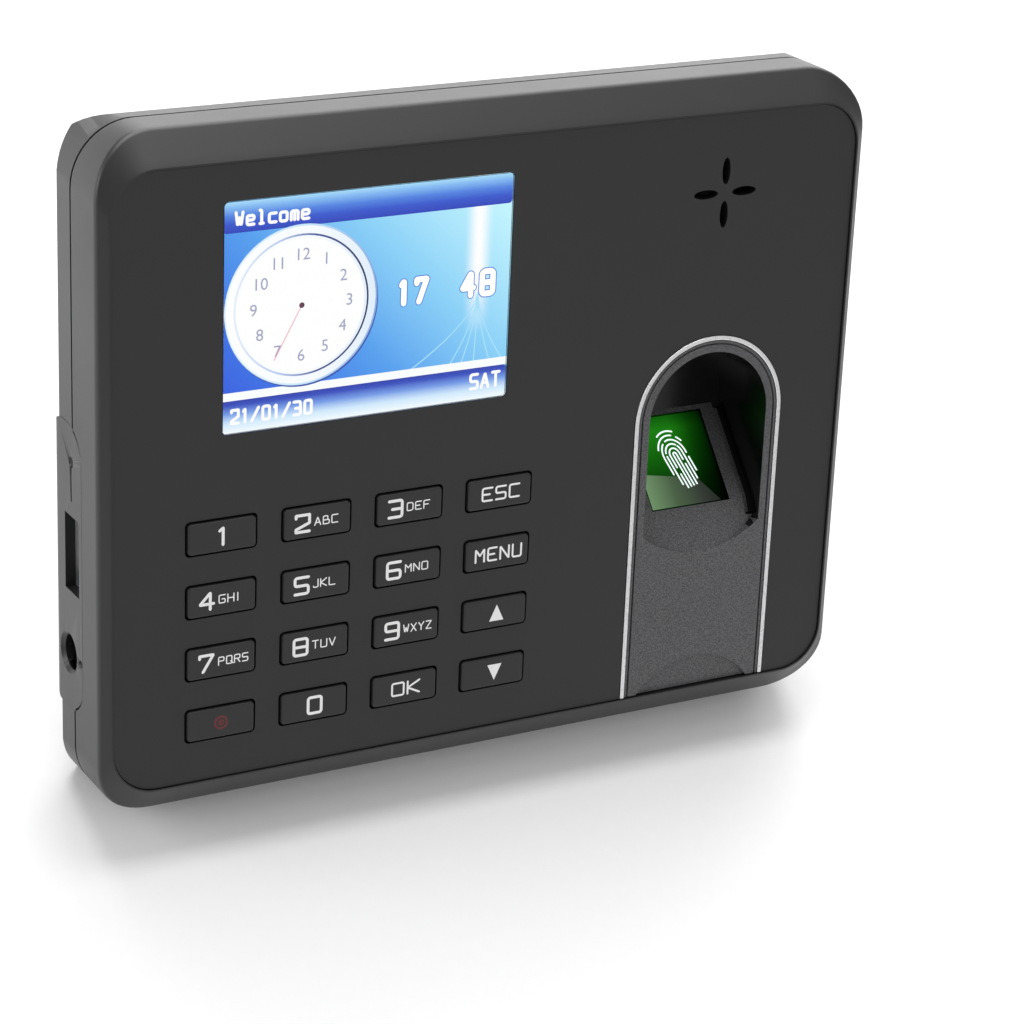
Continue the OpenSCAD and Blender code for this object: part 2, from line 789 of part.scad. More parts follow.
module stand_profile() {
    ri = bend_r - sheet_t;
    reach = 3 * bend_r;
    translate([knee_y, bend_z]) square([sheet_t, stand_top - bend_z]);
    translate([knee_y, knee_z]) rotate(lean)
        translate([bend_l, 0]) square([foot_d - bend_l, sheet_t]);
    intersection() {
        translate([knee_y + bend_r, bend_z]) difference() {
            circle(bend_r);
            circle(ri);
        }
        translate([knee_y + bend_r, bend_z]) polygon([
            [0, 0], [-reach, 0], [-reach, -reach], [0, -reach],
            [reach * sin(lean), -reach * cos(lean)]
        ]);
    }
}

module stand_bracket() {
    color("#4d4f53") at_rest() difference() {
        union() {
            across(-stand_w / 2, stand_w / 2) stand_profile();
            box([-tab_w / 2, case_t - 4.1, neck_z0], [tab_w / 2, knee_y + 1.4, neck_z1]);
            box([-tab_w / 2, case_t - 4.1, neck_z0], [tab_w / 2, case_t - 2.15, neck_z1 + 5.4]);
        }
        on_foot() {
            translate([0, 0, -5]) linear_extrude(height = 12) intersection() {
                translate([0, hole_u + 12.3]) circle(23.5);
                translate([0, hole_u - 12.3]) circle(23.5);
                translate([0, hole_u]) circle(19.6);
            }
            for (s = [-1, 1]) {
                translate([s * stand_w / 2, foot_d, -5]) difference() {
                    translate([-s * 3, -3, 6]) cube([6.1, 6.1, 12], center = true);
                    translate([-s * 6, -6, 0]) cylinder(r = 6, h = 12);
                }
                translate([s * pad_x, pad_u[0], sheet_t - 0.4]) cylinder(r = 3.4, h = 3);
            }
        }
    }
}

module stand_pads() {
    color("#1b1c1d") at_rest() on_foot()
        for (s = [-1, 1], u = pad_u) translate([s * pad_x, u, -pad_h]) cylinder(r = 4, h = pad_h);
}

// ---- the assembly --------------------------------------------------------------------------

front_frame();
front_panel();
lcd_window();
lcd_screen();
lcd_module();
lcd_ribbon();
finger_trim();
finger_guide();
sensor_window();
sensor_block();
sensor_board();
sensor_cable();
key(0, 0);  // key_1
key(1, 0);  // key_2
key(2, 0);  // key_3
key(3, 0);  // key_esc
key(0, 1);  // key_4
key(1, 1);  // key_5
key(2, 1);  // key_6
key(3, 1);  // key_menu
key(0, 2);  // key_7
key(1, 2);  // key_8
key(2, 2);  // key_9
key(3, 2);  // key_up
key(0, 3);  // key_power
key(1, 3);  // key_0
key(2, 3);  // key_ok
key(3, 3);  // key_down
keypad_mat();
keypad_domes();
keypad_board();
speaker_frame();
speaker_cone();
main_board();
board_parts();
backup_cell();
usb_shell();
usb_tongue();
dc_jack();
dc_pin();
rear_shell();
case_screws();
board_screws();
rear_label();
round_sticker();
code_sticker();
stand_bracket();
stand_pads();
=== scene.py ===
"""Looks of a desk fingerprint terminal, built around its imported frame.

The file is laid out as an add-on: property groups hold the sizes and colours, one operator makes
each piece or group of like pieces, and a panel lists them. Every length in the code is in
millimetres in the case's own axes, x right, y into the case and z up its face, from the middle of
the face panel, unless a comment says otherwise.
"""

import contextlib
import json
import math

import bmesh
import bpy
import numpy as np
from mathutils import Matrix, Vector


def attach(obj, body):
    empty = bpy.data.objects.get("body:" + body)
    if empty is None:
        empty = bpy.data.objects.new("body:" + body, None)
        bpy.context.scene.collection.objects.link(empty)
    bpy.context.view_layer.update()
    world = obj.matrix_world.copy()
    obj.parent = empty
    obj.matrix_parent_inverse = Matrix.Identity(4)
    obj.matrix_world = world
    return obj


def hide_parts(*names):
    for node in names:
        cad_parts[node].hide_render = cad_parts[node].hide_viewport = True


bl_info = {
    "name": "Fingerprint terminal looks",
    "version": (1, 0, 0),
    "blender": (4, 5, 0),
    "location": "3D View > Sidebar > Terminal",
    "description": "Makes the finished surfaces of a desk fingerprint terminal",
    "category": "Object",
}

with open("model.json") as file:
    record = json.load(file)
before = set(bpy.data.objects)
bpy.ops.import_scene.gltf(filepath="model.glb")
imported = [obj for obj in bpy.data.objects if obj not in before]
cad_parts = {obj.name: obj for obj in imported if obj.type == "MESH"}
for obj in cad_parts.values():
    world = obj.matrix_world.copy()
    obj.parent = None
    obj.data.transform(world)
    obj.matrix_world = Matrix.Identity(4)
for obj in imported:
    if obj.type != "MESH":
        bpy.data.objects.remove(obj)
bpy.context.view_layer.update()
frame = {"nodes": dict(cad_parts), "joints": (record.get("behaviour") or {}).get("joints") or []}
NODES = frame["nodes"]
BASE = "terminal"
MM = 0.001
FLAT_DEGREES = 35


# ---- case axes -----------------------------------------------------------------------------


def case_matrix():
    """Case axes in millimetres to the frame's metres, from a key's travel and the panel's box."""
    press = next(j for j in frame["joints"] if j["name"] == "key_1_press")["axis"]
    turn = Matrix.Rotation(-math.atan2(-press[2], press[1]), 4, "X")
    corners = np.array([turn.inverted() @ v.co for v in NODES["front_panel"].data.vertices])
    low, high = corners.min(0), corners.max(0)
    middle = Vector(((low[0] + high[0]) / 2, low[1], (low[2] + high[2]) / 2))
    return turn @ Matrix.Translation(middle) @ Matrix.Scale(MM, 4)


CASE = case_matrix()
TO_CASE = CASE.inverted()
INWARD = CASE.to_3x3().normalized() @ Vector((0, 1, 0))


def node_points(node):
    """A CAD node's points in case axes."""
    return np.array([TO_CASE @ v.co for v in NODES[node].data.vertices])


def span(node):
    """Lowest and highest corner of a CAD node in case axes."""
    points = node_points(node)
    return points.min(0), points.max(0)


def centre(low, high):
    """The middle of a box, across the case and up it."""
    return (low[0] + high[0]) / 2, (low[2] + high[2]) / 2


FRAME_LOW, FRAME_HIGH = span("front_frame")
PANEL_LOW, PANEL_HIGH = span("front_panel")
SHELL_LOW, SHELL_HIGH = span("rear_shell")
CASE_W = FRAME_HIGH[0] - FRAME_LOW[0]
CASE_H = FRAME_HIGH[2] - FRAME_LOW[2]
PANEL_W = PANEL_HIGH[0] - PANEL_LOW[0]
PANEL_H = PANEL_HIGH[2] - PANEL_LOW[2]
PANEL_T = PANEL_HIGH[1]
LIP_Y = FRAME_LOW[1]


# ---- settings ------------------------------------------------------------------------------


def linear(code):
    """An sRGB hex code as linear colour."""
    parts = [int(code[i:i + 2], 16) / 255 for i in (1, 3, 5)]
    return (*(c / 12.92 if c <= 0.04045 else ((c + 0.055) / 1.055) ** 2.4 for c in parts), 1.0)


def length_setting(label, note, value, low, high):
    """A length setting, its default and limits given in millimetres."""
    return bpy.props.FloatProperty(name=label, description=note, default=value * MM,
                                   min=low * MM, max=high * MM, precision=5, unit="LENGTH")


def colour_setting(label, note, code):
    """A colour setting, its default given as an sRGB hex code."""
    return bpy.props.FloatVectorProperty(name=label, description=note, default=linear(code),
                                         size=4, min=0.0, max=1.0, subtype="COLOR")


class TerminalSizes(bpy.types.PropertyGroup):
    """Sizes of the finished surfaces"""

    panel_edge: length_setting(
        "Panel edge", "Rounding of the face panel's cut edges", 0.2, 0.02, 0.5)
    roll: length_setting(
        "Shell roll", "Rounding of the ridge round the shell's back", 1.6, 0.3, 3.0)
    bevel_roll: length_setting(
        "Bevel roll", "Rounding between the frame's bevel and its wall", 0.7, 0.2, 2.0)
    key_edge: length_setting("Key edge", "Rounding of a key's front edge", 0.32, 0.05, 0.8)
    digit_h: length_setting("Digit height", "Height of the digits on the keys", 2.75, 1.5, 4.0)
    letter_h: length_setting(
        "Letter height", "Height of the small letters on the keys", 1.3, 0.8, 2.0)
    ridge_w: length_setting(
        "Ridge width", "Width of the lit fingerprint's ridges", 0.3, 0.1, 0.6)
    lens: bpy.props.FloatProperty(
        name="Camera lens", description="Focal length on a 36 mm wide sensor",
        default=114.1, min=20.0, max=300.0, unit="CAMERA")


class TerminalColours(bpy.types.PropertyGroup):
    """Colours of the finished surfaces"""

    frame: colour_setting("Frame", "Moulded surround of the face", "#18181a")
    panel: colour_setting("Panel", "Face panel", "#151517")
    shell: colour_setting("Shell", "Rear shell", "#19191b")
    keys: colour_setting("Keys", "Key caps", "#171719")
    guide: colour_setting("Finger guide", "Sand-textured finger guide", "#4e4e50")
    ink: colour_setting("Ink", "Printed key legends", "#f4f4f4")
    mark: colour_setting("Mark", "Round mark on the power key", "#5e1418")
    stand: colour_setting("Stand", "Painted sheet stand", "#121214")
    floor: colour_setting("Floor", "Studio floor", "#f6f6f6")


def size(name):
    """A length setting in millimetres."""
    return getattr(bpy.context.scene.terminal_sizes, name) / MM


def colours():
    return bpy.context.scene.terminal_colours


# ---- mesh helpers --------------------------------------------------------------------------


@contextlib.contextmanager
def editing(mesh, result=None):
    """A mesh's editable form, written back to it or to another mesh at the end."""
    bm = bmesh.new()
    bm.from_mesh(mesh)
    yield bm
    bm.to_mesh(result or mesh)
    bm.free()


def linked(name, data):
    """A new object in the scene."""
    thing = bpy.data.objects.new(name, data)
    bpy.context.scene.collection.objects.link(thing)
    return thing


def baked(holder):
    """The plain mesh of an object as its modifiers leave it. The object goes."""
    graph = bpy.context.evaluated_depsgraph_get()
    graph.update()
    mesh = bpy.data.meshes.new_from_object(
        holder.evaluated_get(graph), preserve_all_data_layers=True, depsgraph=graph)
    bpy.data.objects.remove(holder)
    return mesh


def mesh_of(name, points, faces, place=CASE):
    """A mesh from points in case axes, or another place's, with its faces turned outwards."""
    mesh = bpy.data.meshes.new(name)
    mesh.from_pydata([place @ Vector(p) for p in points], [], faces)
    with editing(mesh) as bm:
        bmesh.ops.remove_doubles(bm, verts=bm.verts, dist=1e-7)
        bmesh.ops.recalc_face_normals(bm, faces=bm.faces)
    return mesh


def joined(name, meshes):
    """One mesh that holds several."""
    bm = bmesh.new()
    for mesh in meshes:
        bm.from_mesh(mesh)
    whole = bpy.data.meshes.new(name)
    bm.to_mesh(whole)
    bm.free()
    return whole


def worked(mesh, kind, **settings):
    """The mesh after a modifier."""
    holder = linked("holder", mesh)
    modifier = holder.modifiers.new(kind, kind)
    for key, value in settings.items():
        setattr(modifier, key, value)
    return baked(holder)


def shaded(mesh, degrees=FLAT_DEGREES, flat=None):
    """Smooth shading with creases at steeper angles, and round faces square to this direction."""
    mesh.polygons.foreach_set("use_smooth", [True] * len(mesh.polygons))
    mesh.set_sharp_from_angle(angle=math.radians(degrees))
    if flat is not None:
        with editing(mesh) as bm:
            for edge in bm.edges:
                level = [abs(face.normal.dot(flat)) > 0.99999 for face in edge.link_faces]
                if any(level) and not all(level):
                    edge.smooth = False
    return worked(mesh, "WEIGHTED_NORMAL", keep_sharp=True, weight=50)


def rounded(mesh, width, segments=3):
    """The mesh with its sharp edges rounded to this width."""
    return shaded(worked(
        mesh, "BEVEL", width=width * MM, segments=segments, limit_method="ANGLE",
        angle_limit=math.radians(FLAT_DEGREES), use_clamp_overlap=True,
        miter_outer="MITER_ARC", harden_normals=False))


def cut(mesh, cutter, operation="DIFFERENCE"):
    """The mesh less a cutter, or only what lies inside it."""
    tool = linked("tool", cutter)
    result = worked(mesh, "BOOLEAN", object=tool, operation=operation, solver="EXACT")
    bpy.data.objects.remove(tool)
    return result


def cad_copy(node, whole=True):
    """A merged copy of a CAD node, its flat faces made whole if asked."""
    copy = bpy.data.meshes.new(node)
    with editing(NODES[node].data, copy) as bm:
        bmesh.ops.remove_doubles(bm, verts=bm.verts, dist=2e-6 if whole else 2e-7)
        if whole:
            bmesh.ops.dissolve_limit(
                bm, angle_limit=math.radians(0.5), verts=bm.verts, edges=bm.edges)
    return copy


def placed(name, mesh, materials, body=BASE, replaces=()):
    """A finished piece, riding on a body and standing for CAD nodes.

    With a list of materials each face keeps its own place in the list.
    """
    several = isinstance(materials, list)
    shares = [polygon.material_index if several else 0 for polygon in mesh.polygons]
    mesh.materials.clear()
    for material in materials if several else [materials]:
        mesh.materials.append(material)
    mesh.polygons.foreach_set("material_index", shares)
    piece = linked(name, mesh)
    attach(piece, body)
    if replaces:
        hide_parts(*replaces)
    return piece


def dressed(node, material):
    """A CAD node that keeps its shape and takes a finished material."""
    mesh = NODES[node].data
    mesh.materials.clear()
    mesh.materials.append(material)


def rounded_outline(width, height, radius, per_corner=12, per_side=6):
    """Points round a rounded rectangle, and for each how far it turns from side to end."""
    cx, cz = width / 2 - radius, height / 2 - radius
    corners = [(cx, cz), (-cx, cz), (-cx, -cz), (cx, -cz)]
    points, turns = [], []
    for quarter, (x, z) in enumerate(corners):
        for k in range(per_corner + 1):
            a = math.radians(90) * (quarter + k / per_corner)
            points.append((x + radius * math.cos(a), z + radius * math.sin(a)))
            turns.append(k / per_corner if quarter % 2 == 0 else 1 - k / per_corner)
        start, (x, z) = points[-1], corners[(quarter + 1) % 4]
        end = (x + radius * math.cos(a), z + radius * math.sin(a))
        for k in range(1, per_side):
            points.append(tuple(s + (e - s) * (k / per_side) for s, e in zip(start, end)))
            turns.append(1.0 - quarter % 2)
    return np.array(points), np.array(turns)


def loft(rings, closed=False):
    """Points and faces of a skin through rings of equal counts, closed on itself or capped."""
    count, turns = len(rings[0]), len(rings)
    points = [tuple(p) for ring in rings for p in ring]
    faces = []
    for i in range(turns if closed else turns - 1):
        a, b = i * count, (i + 1) % turns * count
        for k in range(count):
            n = (k + 1) % count
            faces.append((a + k, a + n, b + n, b + k))
    if not closed:
        faces += [tuple(range(count)), tuple(range((turns - 1) * count, turns * count))]
    return points, faces


def plate(name, middle, width, height, radius, front, back, edge=0.0):
    """A flat rounded plate facing the front, its front edge rounded."""
    angles = [math.radians(90) * k / 4 for k in range(5)] if edge else [0.0]
    rings = [(0.0, back)] + [
        (edge * (1 - math.cos(a)), front + edge * (1 - math.sin(a))) for a in angles]
    skins = []
    for inset, depth in rings:
        ring, _ = rounded_outline(
            width - 2 * inset, height - 2 * inset, max(radius - inset, 0.02), 6, 2)
        skins.append([(middle[0] + x, depth, middle[1] + z) for x, z in ring])
    return mesh_of(name, *loft(skins))


def disc(name, middle, radius, front, back, count=72):
    """A flat disc facing the front."""
    angles = [2 * math.pi * k / count for k in range(count)]
    return mesh_of(name, *loft([
        [(middle[0] + radius * math.cos(a), depth, middle[1] + radius * math.sin(a))
         for a in angles] for depth in (back, front)]))


def facing(mesh, middle, depth, behind=False):
    """Moves a mesh drawn in millimetres on x and y onto the case's face, or onto its back."""
    turn = Matrix.Rotation(math.pi if behind else 0.0, 4, "Z") @ Matrix.Rotation(
        math.radians(90), 4, "X")
    mesh.transform(CASE @ Matrix.Translation((middle[0], depth, middle[1])) @ turn)
    return mesh


def numeral(text, height):
    """A centred number in the plain built-in letters, in millimetres on x and y."""
    curve = bpy.data.curves.new(text, "FONT")
    curve.body = text
    curve.size = height / 0.73
    curve.extrude = 0.005
    curve.align_x = "CENTER"
    curve.resolution_u = 4
    return baked(linked(text, curve))


# ---- materials -----------------------------------------------------------------------------


def lighter(colour, factor):
    """A hex code or linear colour made lighter or darker."""
    values = linear(colour) if isinstance(colour, str) else colour
    return (*(min(1.0, c * factor) for c in values[:3]), 1.0)


def add(tree, kind, values=None, links=None, **settings):
    """Adds a node with its settings, socket values and incoming links."""
    node = tree.nodes.new(kind)
    for key, value in settings.items():
        setattr(node, key, value)
    for key, value in (values or {}).items():
        node.inputs[key].default_value = value
    for key, socket in (links or {}).items():
        tree.links.new(socket, node.inputs[key])
    return node


def new_material(name, **values):
    """A material, its tree and its shader with plain socket values."""
    material = bpy.data.materials.new(name)
    material.use_nodes = True
    tree = material.node_tree
    shader = tree.nodes["Principled BSDF"]
    for key, value in values.items():
        shader.inputs[key.replace("_", " ")].default_value = value
    return material, tree, shader


def maths(tree, operation, *values):
    """A sum of sockets or plain numbers."""
    node = add(tree, "ShaderNodeMath", operation=operation)
    for socket, value in zip(node.inputs, values):
        if isinstance(value, float):
            socket.default_value = value
        else:
            tree.links.new(value, socket)
    return node.outputs[0]


def ramp(tree, factor, stops):
    """A colour ramp with (place, colour) stops, the colour linear or a hex code."""
    node = add(tree, "ShaderNodeValToRGB", links={"Fac": factor})
    while len(node.color_ramp.elements) < len(stops):
        node.color_ramp.elements.new(0.5)
    for element, (place, colour) in zip(node.color_ramp.elements, stops):
        element.position = place
        element.color = linear(colour) if isinstance(colour, str) else colour
    return node.outputs["Color"]


def in_plane(tree, matrix, width, height):
    """Object coordinates turned into 0 to 1 across a plane's width and height.

    The plane's own axes are x across, y up and z out, and the matrix places its lower left corner.
    """
    place, turn, _ = matrix.decompose()
    coords = add(tree, "ShaderNodeTexCoord").outputs["Object"]
    mapping = add(tree, "ShaderNodeMapping", vector_type="TEXTURE", links={"Vector": coords})
    mapping.inputs["Location"].default_value = place
    mapping.inputs["Rotation"].default_value = turn.to_euler("XYZ")
    mapping.inputs["Scale"].default_value = (width * MM, height * MM, MM)
    return add(tree, "ShaderNodeSeparateXYZ", links={"Vector": mapping.outputs["Vector"]}).outputs


def front_plane(x, z):
    """A plane on the case's face with its lower left corner at x, z."""
    return CASE @ Matrix.Translation((x, 0.0, z)) @ Matrix.Rotation(math.radians(90), 4, "X")


def noise(tree, grain, detail, vector):
    """A cloudy pattern with this grain in millimetres."""
    return add(tree, "ShaderNodeTexNoise", {"Scale": 1 / (grain * MM), "Detail": detail},
               {"Vector": vector}).outputs["Fac"]


def textured(tree, shader, grain, tints, depth, gloss, roughness):
    """Takes colour and bumps from the grain, and roughness between two values from the gloss."""
    tree.links.new(ramp(tree, grain, tints), shader.inputs["Base Color"])
    rough = add(tree, "ShaderNodeMapRange", {"To Min": roughness[0], "To Max": roughness[1]},
                {"Value": gloss})
    tree.links.new(rough.outputs["Result"], shader.inputs["Roughness"])
    bump = add(tree, "ShaderNodeBump", {"Strength": 1.0, "Distance": depth * MM},
               {"Height": grain})
    tree.links.new(bump.outputs["Normal"], shader.inputs["Normal"])


def moulded(name, colour, roughness, grain, depth, speckle=0.04, detail=2.0):
    """Injection-moulded ABS with a spark-eroded grain.

    The grain scatters the gloss into a soft sheen and gives the colour a faint mottle. The grain
    is in millimetres, and depth is how deep its bumps are.
    """
    material, tree, shader = new_material(name, IOR=1.53)
    coords = add(tree, "ShaderNodeTexCoord").outputs["Object"]
    textured(tree, shader, noise(tree, grain, detail, coords),
             [(0.35, lighter(colour, 1 - speckle)), (0.65, lighter(colour, 1 + speckle))],
             depth, noise(tree, 18, 3.0, coords), (roughness - 0.05, roughness + 0.05))
    return material


def metal(name, colour, roughness, stretch=(1, 1, 1), grain=0.3, depth=0.004):
    """Plated or bare metal with fine drawn lines along one axis."""
    material, tree, shader = new_material(name, Metallic=1.0)
    coords = add(tree, "ShaderNodeTexCoord").outputs["Object"]
    mapping = add(tree, "ShaderNodeMapping", {"Scale": stretch}, {"Vector": coords})
    lines = noise(tree, grain, 2.0, mapping.outputs["Vector"])
    textured(tree, shader, lines, [(0.3, lighter(colour, 0.92)), (0.7, lighter(colour, 1.05))],
             depth, lines, (roughness - 0.04, roughness + 0.06))
    return material


def lit(name, colour, strength=1.3):
    """A part of the lit picture: black at rest, coloured by its own light."""
    material, tree, shader = new_material(
        name, Base_Color=(0.0, 0.0, 0.0, 1.0), Roughness=0.25, Specular_IOR_Level=0.0,
        Emission_Strength=strength)
    if isinstance(colour, str):
        shader.inputs["Emission Color"].default_value = linear(colour)
    else:
        tree.links.new(colour(tree), shader.inputs["Emission Color"])
    return material


def shades(axis, width, height, x, z, stops):
    """A colour that runs across (axis 0) or up (axis 1) a plate of the face."""
    def build(tree):
        return ramp(tree, in_plane(tree, front_plane(x, z), width, height)[axis], stops)
    return build


# ---- geometry node trees -------------------------------------------------------------------


def node_tree(name, inputs):
    """An empty geometry tree with named inputs, given as (name, socket type, default)."""
    tree = bpy.data.node_groups.new(name, "GeometryNodeTree")
    tree.interface.new_socket("Geometry", in_out="INPUT", socket_type="NodeSocketGeometry")
    tree.interface.new_socket("Geometry", in_out="OUTPUT", socket_type="NodeSocketGeometry")
    for label, kind, default in inputs:
        socket = tree.interface.new_socket(label, in_out="INPUT", socket_type=kind)
        if default is not None:
            socket.default_value = default
    return tree, add(tree, "NodeGroupInput").outputs


def ended(tree, geometry, material):
    """Ends a tree in real geometry with its material set."""
    real = add(tree, "GeometryNodeRealizeInstances", links={"Geometry": geometry})
    done = add(tree, "GeometryNodeSetMaterial",
               links={"Geometry": real.outputs[0], "Material": material})
    add(tree, "NodeGroupOutput", links={0: done.outputs[0]})
    return tree


def grown(tree, base, values):
    """The plain mesh that a tree makes from a base mesh."""
    holder = linked(tree.name, base)
    modifier = holder.modifiers.new(tree.name, "NODES")
    modifier.node_group = tree
    for item in tree.interface.items_tree:
        if item.in_out == "INPUT" and item.name in values:
            modifier[item.identifier] = values[item.name]
    return baked(holder)


def stroke_tree():
    """Lines of the base mesh drawn as flat strokes with rounded bends and ends."""
    tree, given = node_tree("Strokes", [
        ("Width", "NodeSocketFloat", 0.3), ("Flatness", "NodeSocketFloat", 0.1),
        ("Material", "NodeSocketMaterial", None)])
    half = maths(tree, "MULTIPLY", given["Width"], 0.5)
    lines = add(tree, "GeometryNodeMeshToCurve", links={0: given["Geometry"]})
    turn = add(tree, "GeometryNodeInputNamedAttribute", {"Name": "turn"}, data_type="FLOAT")
    bends = add(tree, "GeometryNodeFilletCurve", {"Count": 4, "Limit Radius": True},
                {"Curve": lines.outputs[0], "Radius": turn.outputs["Attribute"]}, mode="POLY")
    rim = add(tree, "GeometryNodeCurvePrimitiveCircle", {"Resolution": 10}, {"Radius": half})
    body = add(tree, "GeometryNodeCurveToMesh", {"Fill Caps": True},
               {"Curve": bends.outputs[0], "Profile Curve": rim.outputs[0]})
    ball = add(tree, "GeometryNodeMeshUVSphere", {"Segments": 10, "Rings": 5}, {"Radius": half})
    points = add(tree, "GeometryNodeMeshToPoints", links={"Mesh": given["Geometry"]})
    tip = add(tree, "GeometryNodeInputNamedAttribute", {"Name": "tip"}, data_type="BOOLEAN")
    tips = add(tree, "GeometryNodeInstanceOnPoints", links={
        "Points": points.outputs[0], "Instance": ball.outputs[0],
        "Selection": tip.outputs["Attribute"]})
    both = add(tree, "GeometryNodeJoinGeometry", links={0: body.outputs[0]})
    tree.links.new(tips.outputs[0], both.inputs[0])
    whole = add(tree, "GeometryNodeRealizeInstances", links={0: both.outputs[0]})
    size = add(tree, "ShaderNodeCombineXYZ", {"X": 1.0, "Y": 1.0}, {"Z": given["Flatness"]})
    flat = add(tree, "GeometryNodeTransform",
               links={"Geometry": whole.outputs[0], "Scale": size.outputs[0]})
    return ended(tree, flat.outputs[0], given["Material"])


def line_mesh(name, lines):
    """A base mesh for strokes from (points, bend radius) lines; a closed one repeats its first."""
    points, edges, turns, tips = [], [], [], []
    for path, turn in lines:
        closed = path[0] == path[-1]
        path = path[:-1] if closed else path
        start = len(points)
        points += [(x, y, 0.0) for x, y in path]
        turns += [turn] * len(path)
        tips += [not closed and k in (0, len(path) - 1) for k in range(len(path))]
        edges += [(start + k, start + k + 1) for k in range(len(path) - 1)]
        if closed:
            edges.append((start + len(path) - 1, start))
    mesh = bpy.data.meshes.new(name)
    mesh.from_pydata(points, edges, [])
    mesh.attributes.new("turn", "FLOAT", "POINT").data.foreach_set("value", turns)
    mesh.attributes.new("tip", "BOOLEAN", "POINT").data.foreach_set("value", tips)
    return mesh


def stroked(name, lines, width, thick, material):
    """Lines as strokes of this width, as thick as given across the middle."""
    tree = bpy.data.node_groups.get("Strokes") or stroke_tree()
    values = {"Width": width, "Flatness": thick / width, "Material": material}
    return grown(tree, line_mesh(name, lines), values)


def bars_tree():
    """A row of printed bars with seeded random widths and gaps."""
    tree, given = node_tree("Bars", [
        ("Count", "NodeSocketInt", 40), ("Length", "NodeSocketFloat", 24.0),
        ("Height", "NodeSocketFloat", 5.0), ("Seed", "NodeSocketInt", 4),
        ("Material", "NodeSocketMaterial", None)])
    pitch = maths(tree, "DIVIDE", given["Length"], given["Count"])
    step = add(tree, "ShaderNodeCombineXYZ", {"X": 0.0, "Z": 0.0}, {"Y": pitch})
    row = add(tree, "GeometryNodeMeshLine", links={"Count": given["Count"],
                                                  "Offset": step.outputs[0]})
    width = add(tree, "FunctionNodeRandomValue", {2: 0.15, 3: 0.85}, {"Seed": given["Seed"]},
                data_type="FLOAT")
    tall = maths(tree, "MULTIPLY", width.outputs[1], pitch)
    shape = add(tree, "ShaderNodeCombineXYZ", {"Z": 0.04}, {"X": given["Height"], "Y": tall})
    bar = add(tree, "GeometryNodeMeshCube", {"Size": (1, 1, 1)})
    bars = add(tree, "GeometryNodeInstanceOnPoints",
               links={"Points": row.outputs[0], "Instance": bar.outputs[0],
                      "Scale": shape.outputs[0]})
    return ended(tree, bars.outputs[0], given["Material"])


# ---- legends -------------------------------------------------------------------------------

# Each letter is drawn on a grid 4 wide and 6 high: two digits are a point, a bar ends a line.
GLYPHS = {
    "0": "00 40 46 06 00", "1": "15 26 20", "2": "05 06 46 43 01 00 40",
    "3": "06 46 40 00|13 43", "4": "30 36 02 42", "5": "46 06 03 43 40 00",
    "6": "46 06 00 40 43 03", "7": "05 06 46 10", "8": "00 40 46 06 00|03 43",
    "9": "43 03 06 46 40 00", "A": "00 26 40|12 32", "B": "00 06 36 33|00 40 43 03",
    "C": "46 06 00 40", "D": "00 06 36 45 41 30 00", "E": "46 06 00 40|03 33",
    "F": "46 06 00|03 33", "G": "46 06 00 40 43 23", "H": "00 06|40 46|03 43", "I": "20 26",
    "J": "36 30 00 01", "K": "00 06|46 03 40", "L": "06 00 40", "M": "00 06 23 46 40",
    "N": "00 06 40 46", "O": "00 40 46 06 00", "P": "00 06 46 43 03",
    "Q": "00 40 46 06 00|32 50", "R": "00 06 46 43 03|23 40", "S": "46 06 03 43 40 00",
    "T": "06 46|26 20", "U": "06 00 40 46", "V": "06 20 46", "W": "06 10 24 30 46",
    "X": "00 46|06 40", "Y": "06 23 46|23 20", "Z": "06 46 00 40",
    "/": "00 46", "e": "40 00 04 44 42 02", "l": "16 26 20|10 30", "c": "40 00 04 44",
    "o": "00 40 44 04 00", "m": "00 04 44 40|24 20",
}
SHARP = "AKMNVWXYZ1247/"
NARROW = {"I": (1.2, 2.8), "1": (0.6, 3.4), "J": (0, 3)}
KEY_ROWS = [["1", "2 ABC", "3 DEF", "ESC"], ["4 GHI", "5 JKL", "6 MNO", "MENU"],
            ["7 PQRS", "8 TUV", "9 WXYZ", "up"], ["power", "0", "OK", "down"]]
KEY_NODES = [["key_1", "key_2", "key_3", "key_esc"], ["key_4", "key_5", "key_6", "key_menu"],
             ["key_7", "key_8", "key_9", "key_up"], ["key_power", "key_0", "key_ok", "key_down"]]


def word_lines(word, height, width, gap, x=0.0, y=0.0, centred=False):
    """The lines of a word: letters of this height and width, from x along the baseline y."""
    lines, cursor = [], 0.0
    for letter in word:
        low, high = NARROW.get(letter, (0, 4))
        for run in GLYPHS[letter].split("|"):
            path = [(cursor + (int(p[0]) - low) * width / 4, y + int(p[1]) * height / 6)
                    for p in run.split()]
            turn = (0.02 if letter in SHARP else 0.14) * height
            lines.append((path, turn))
        cursor += (high - low) * width / 4 + gap
    shift = x - ((cursor - gap) / 2 if centred else 0.0)
    return [([(px + shift, py) for px, py in path], turn) for path, turn in lines]


# ---- operators -----------------------------------------------------------------------------


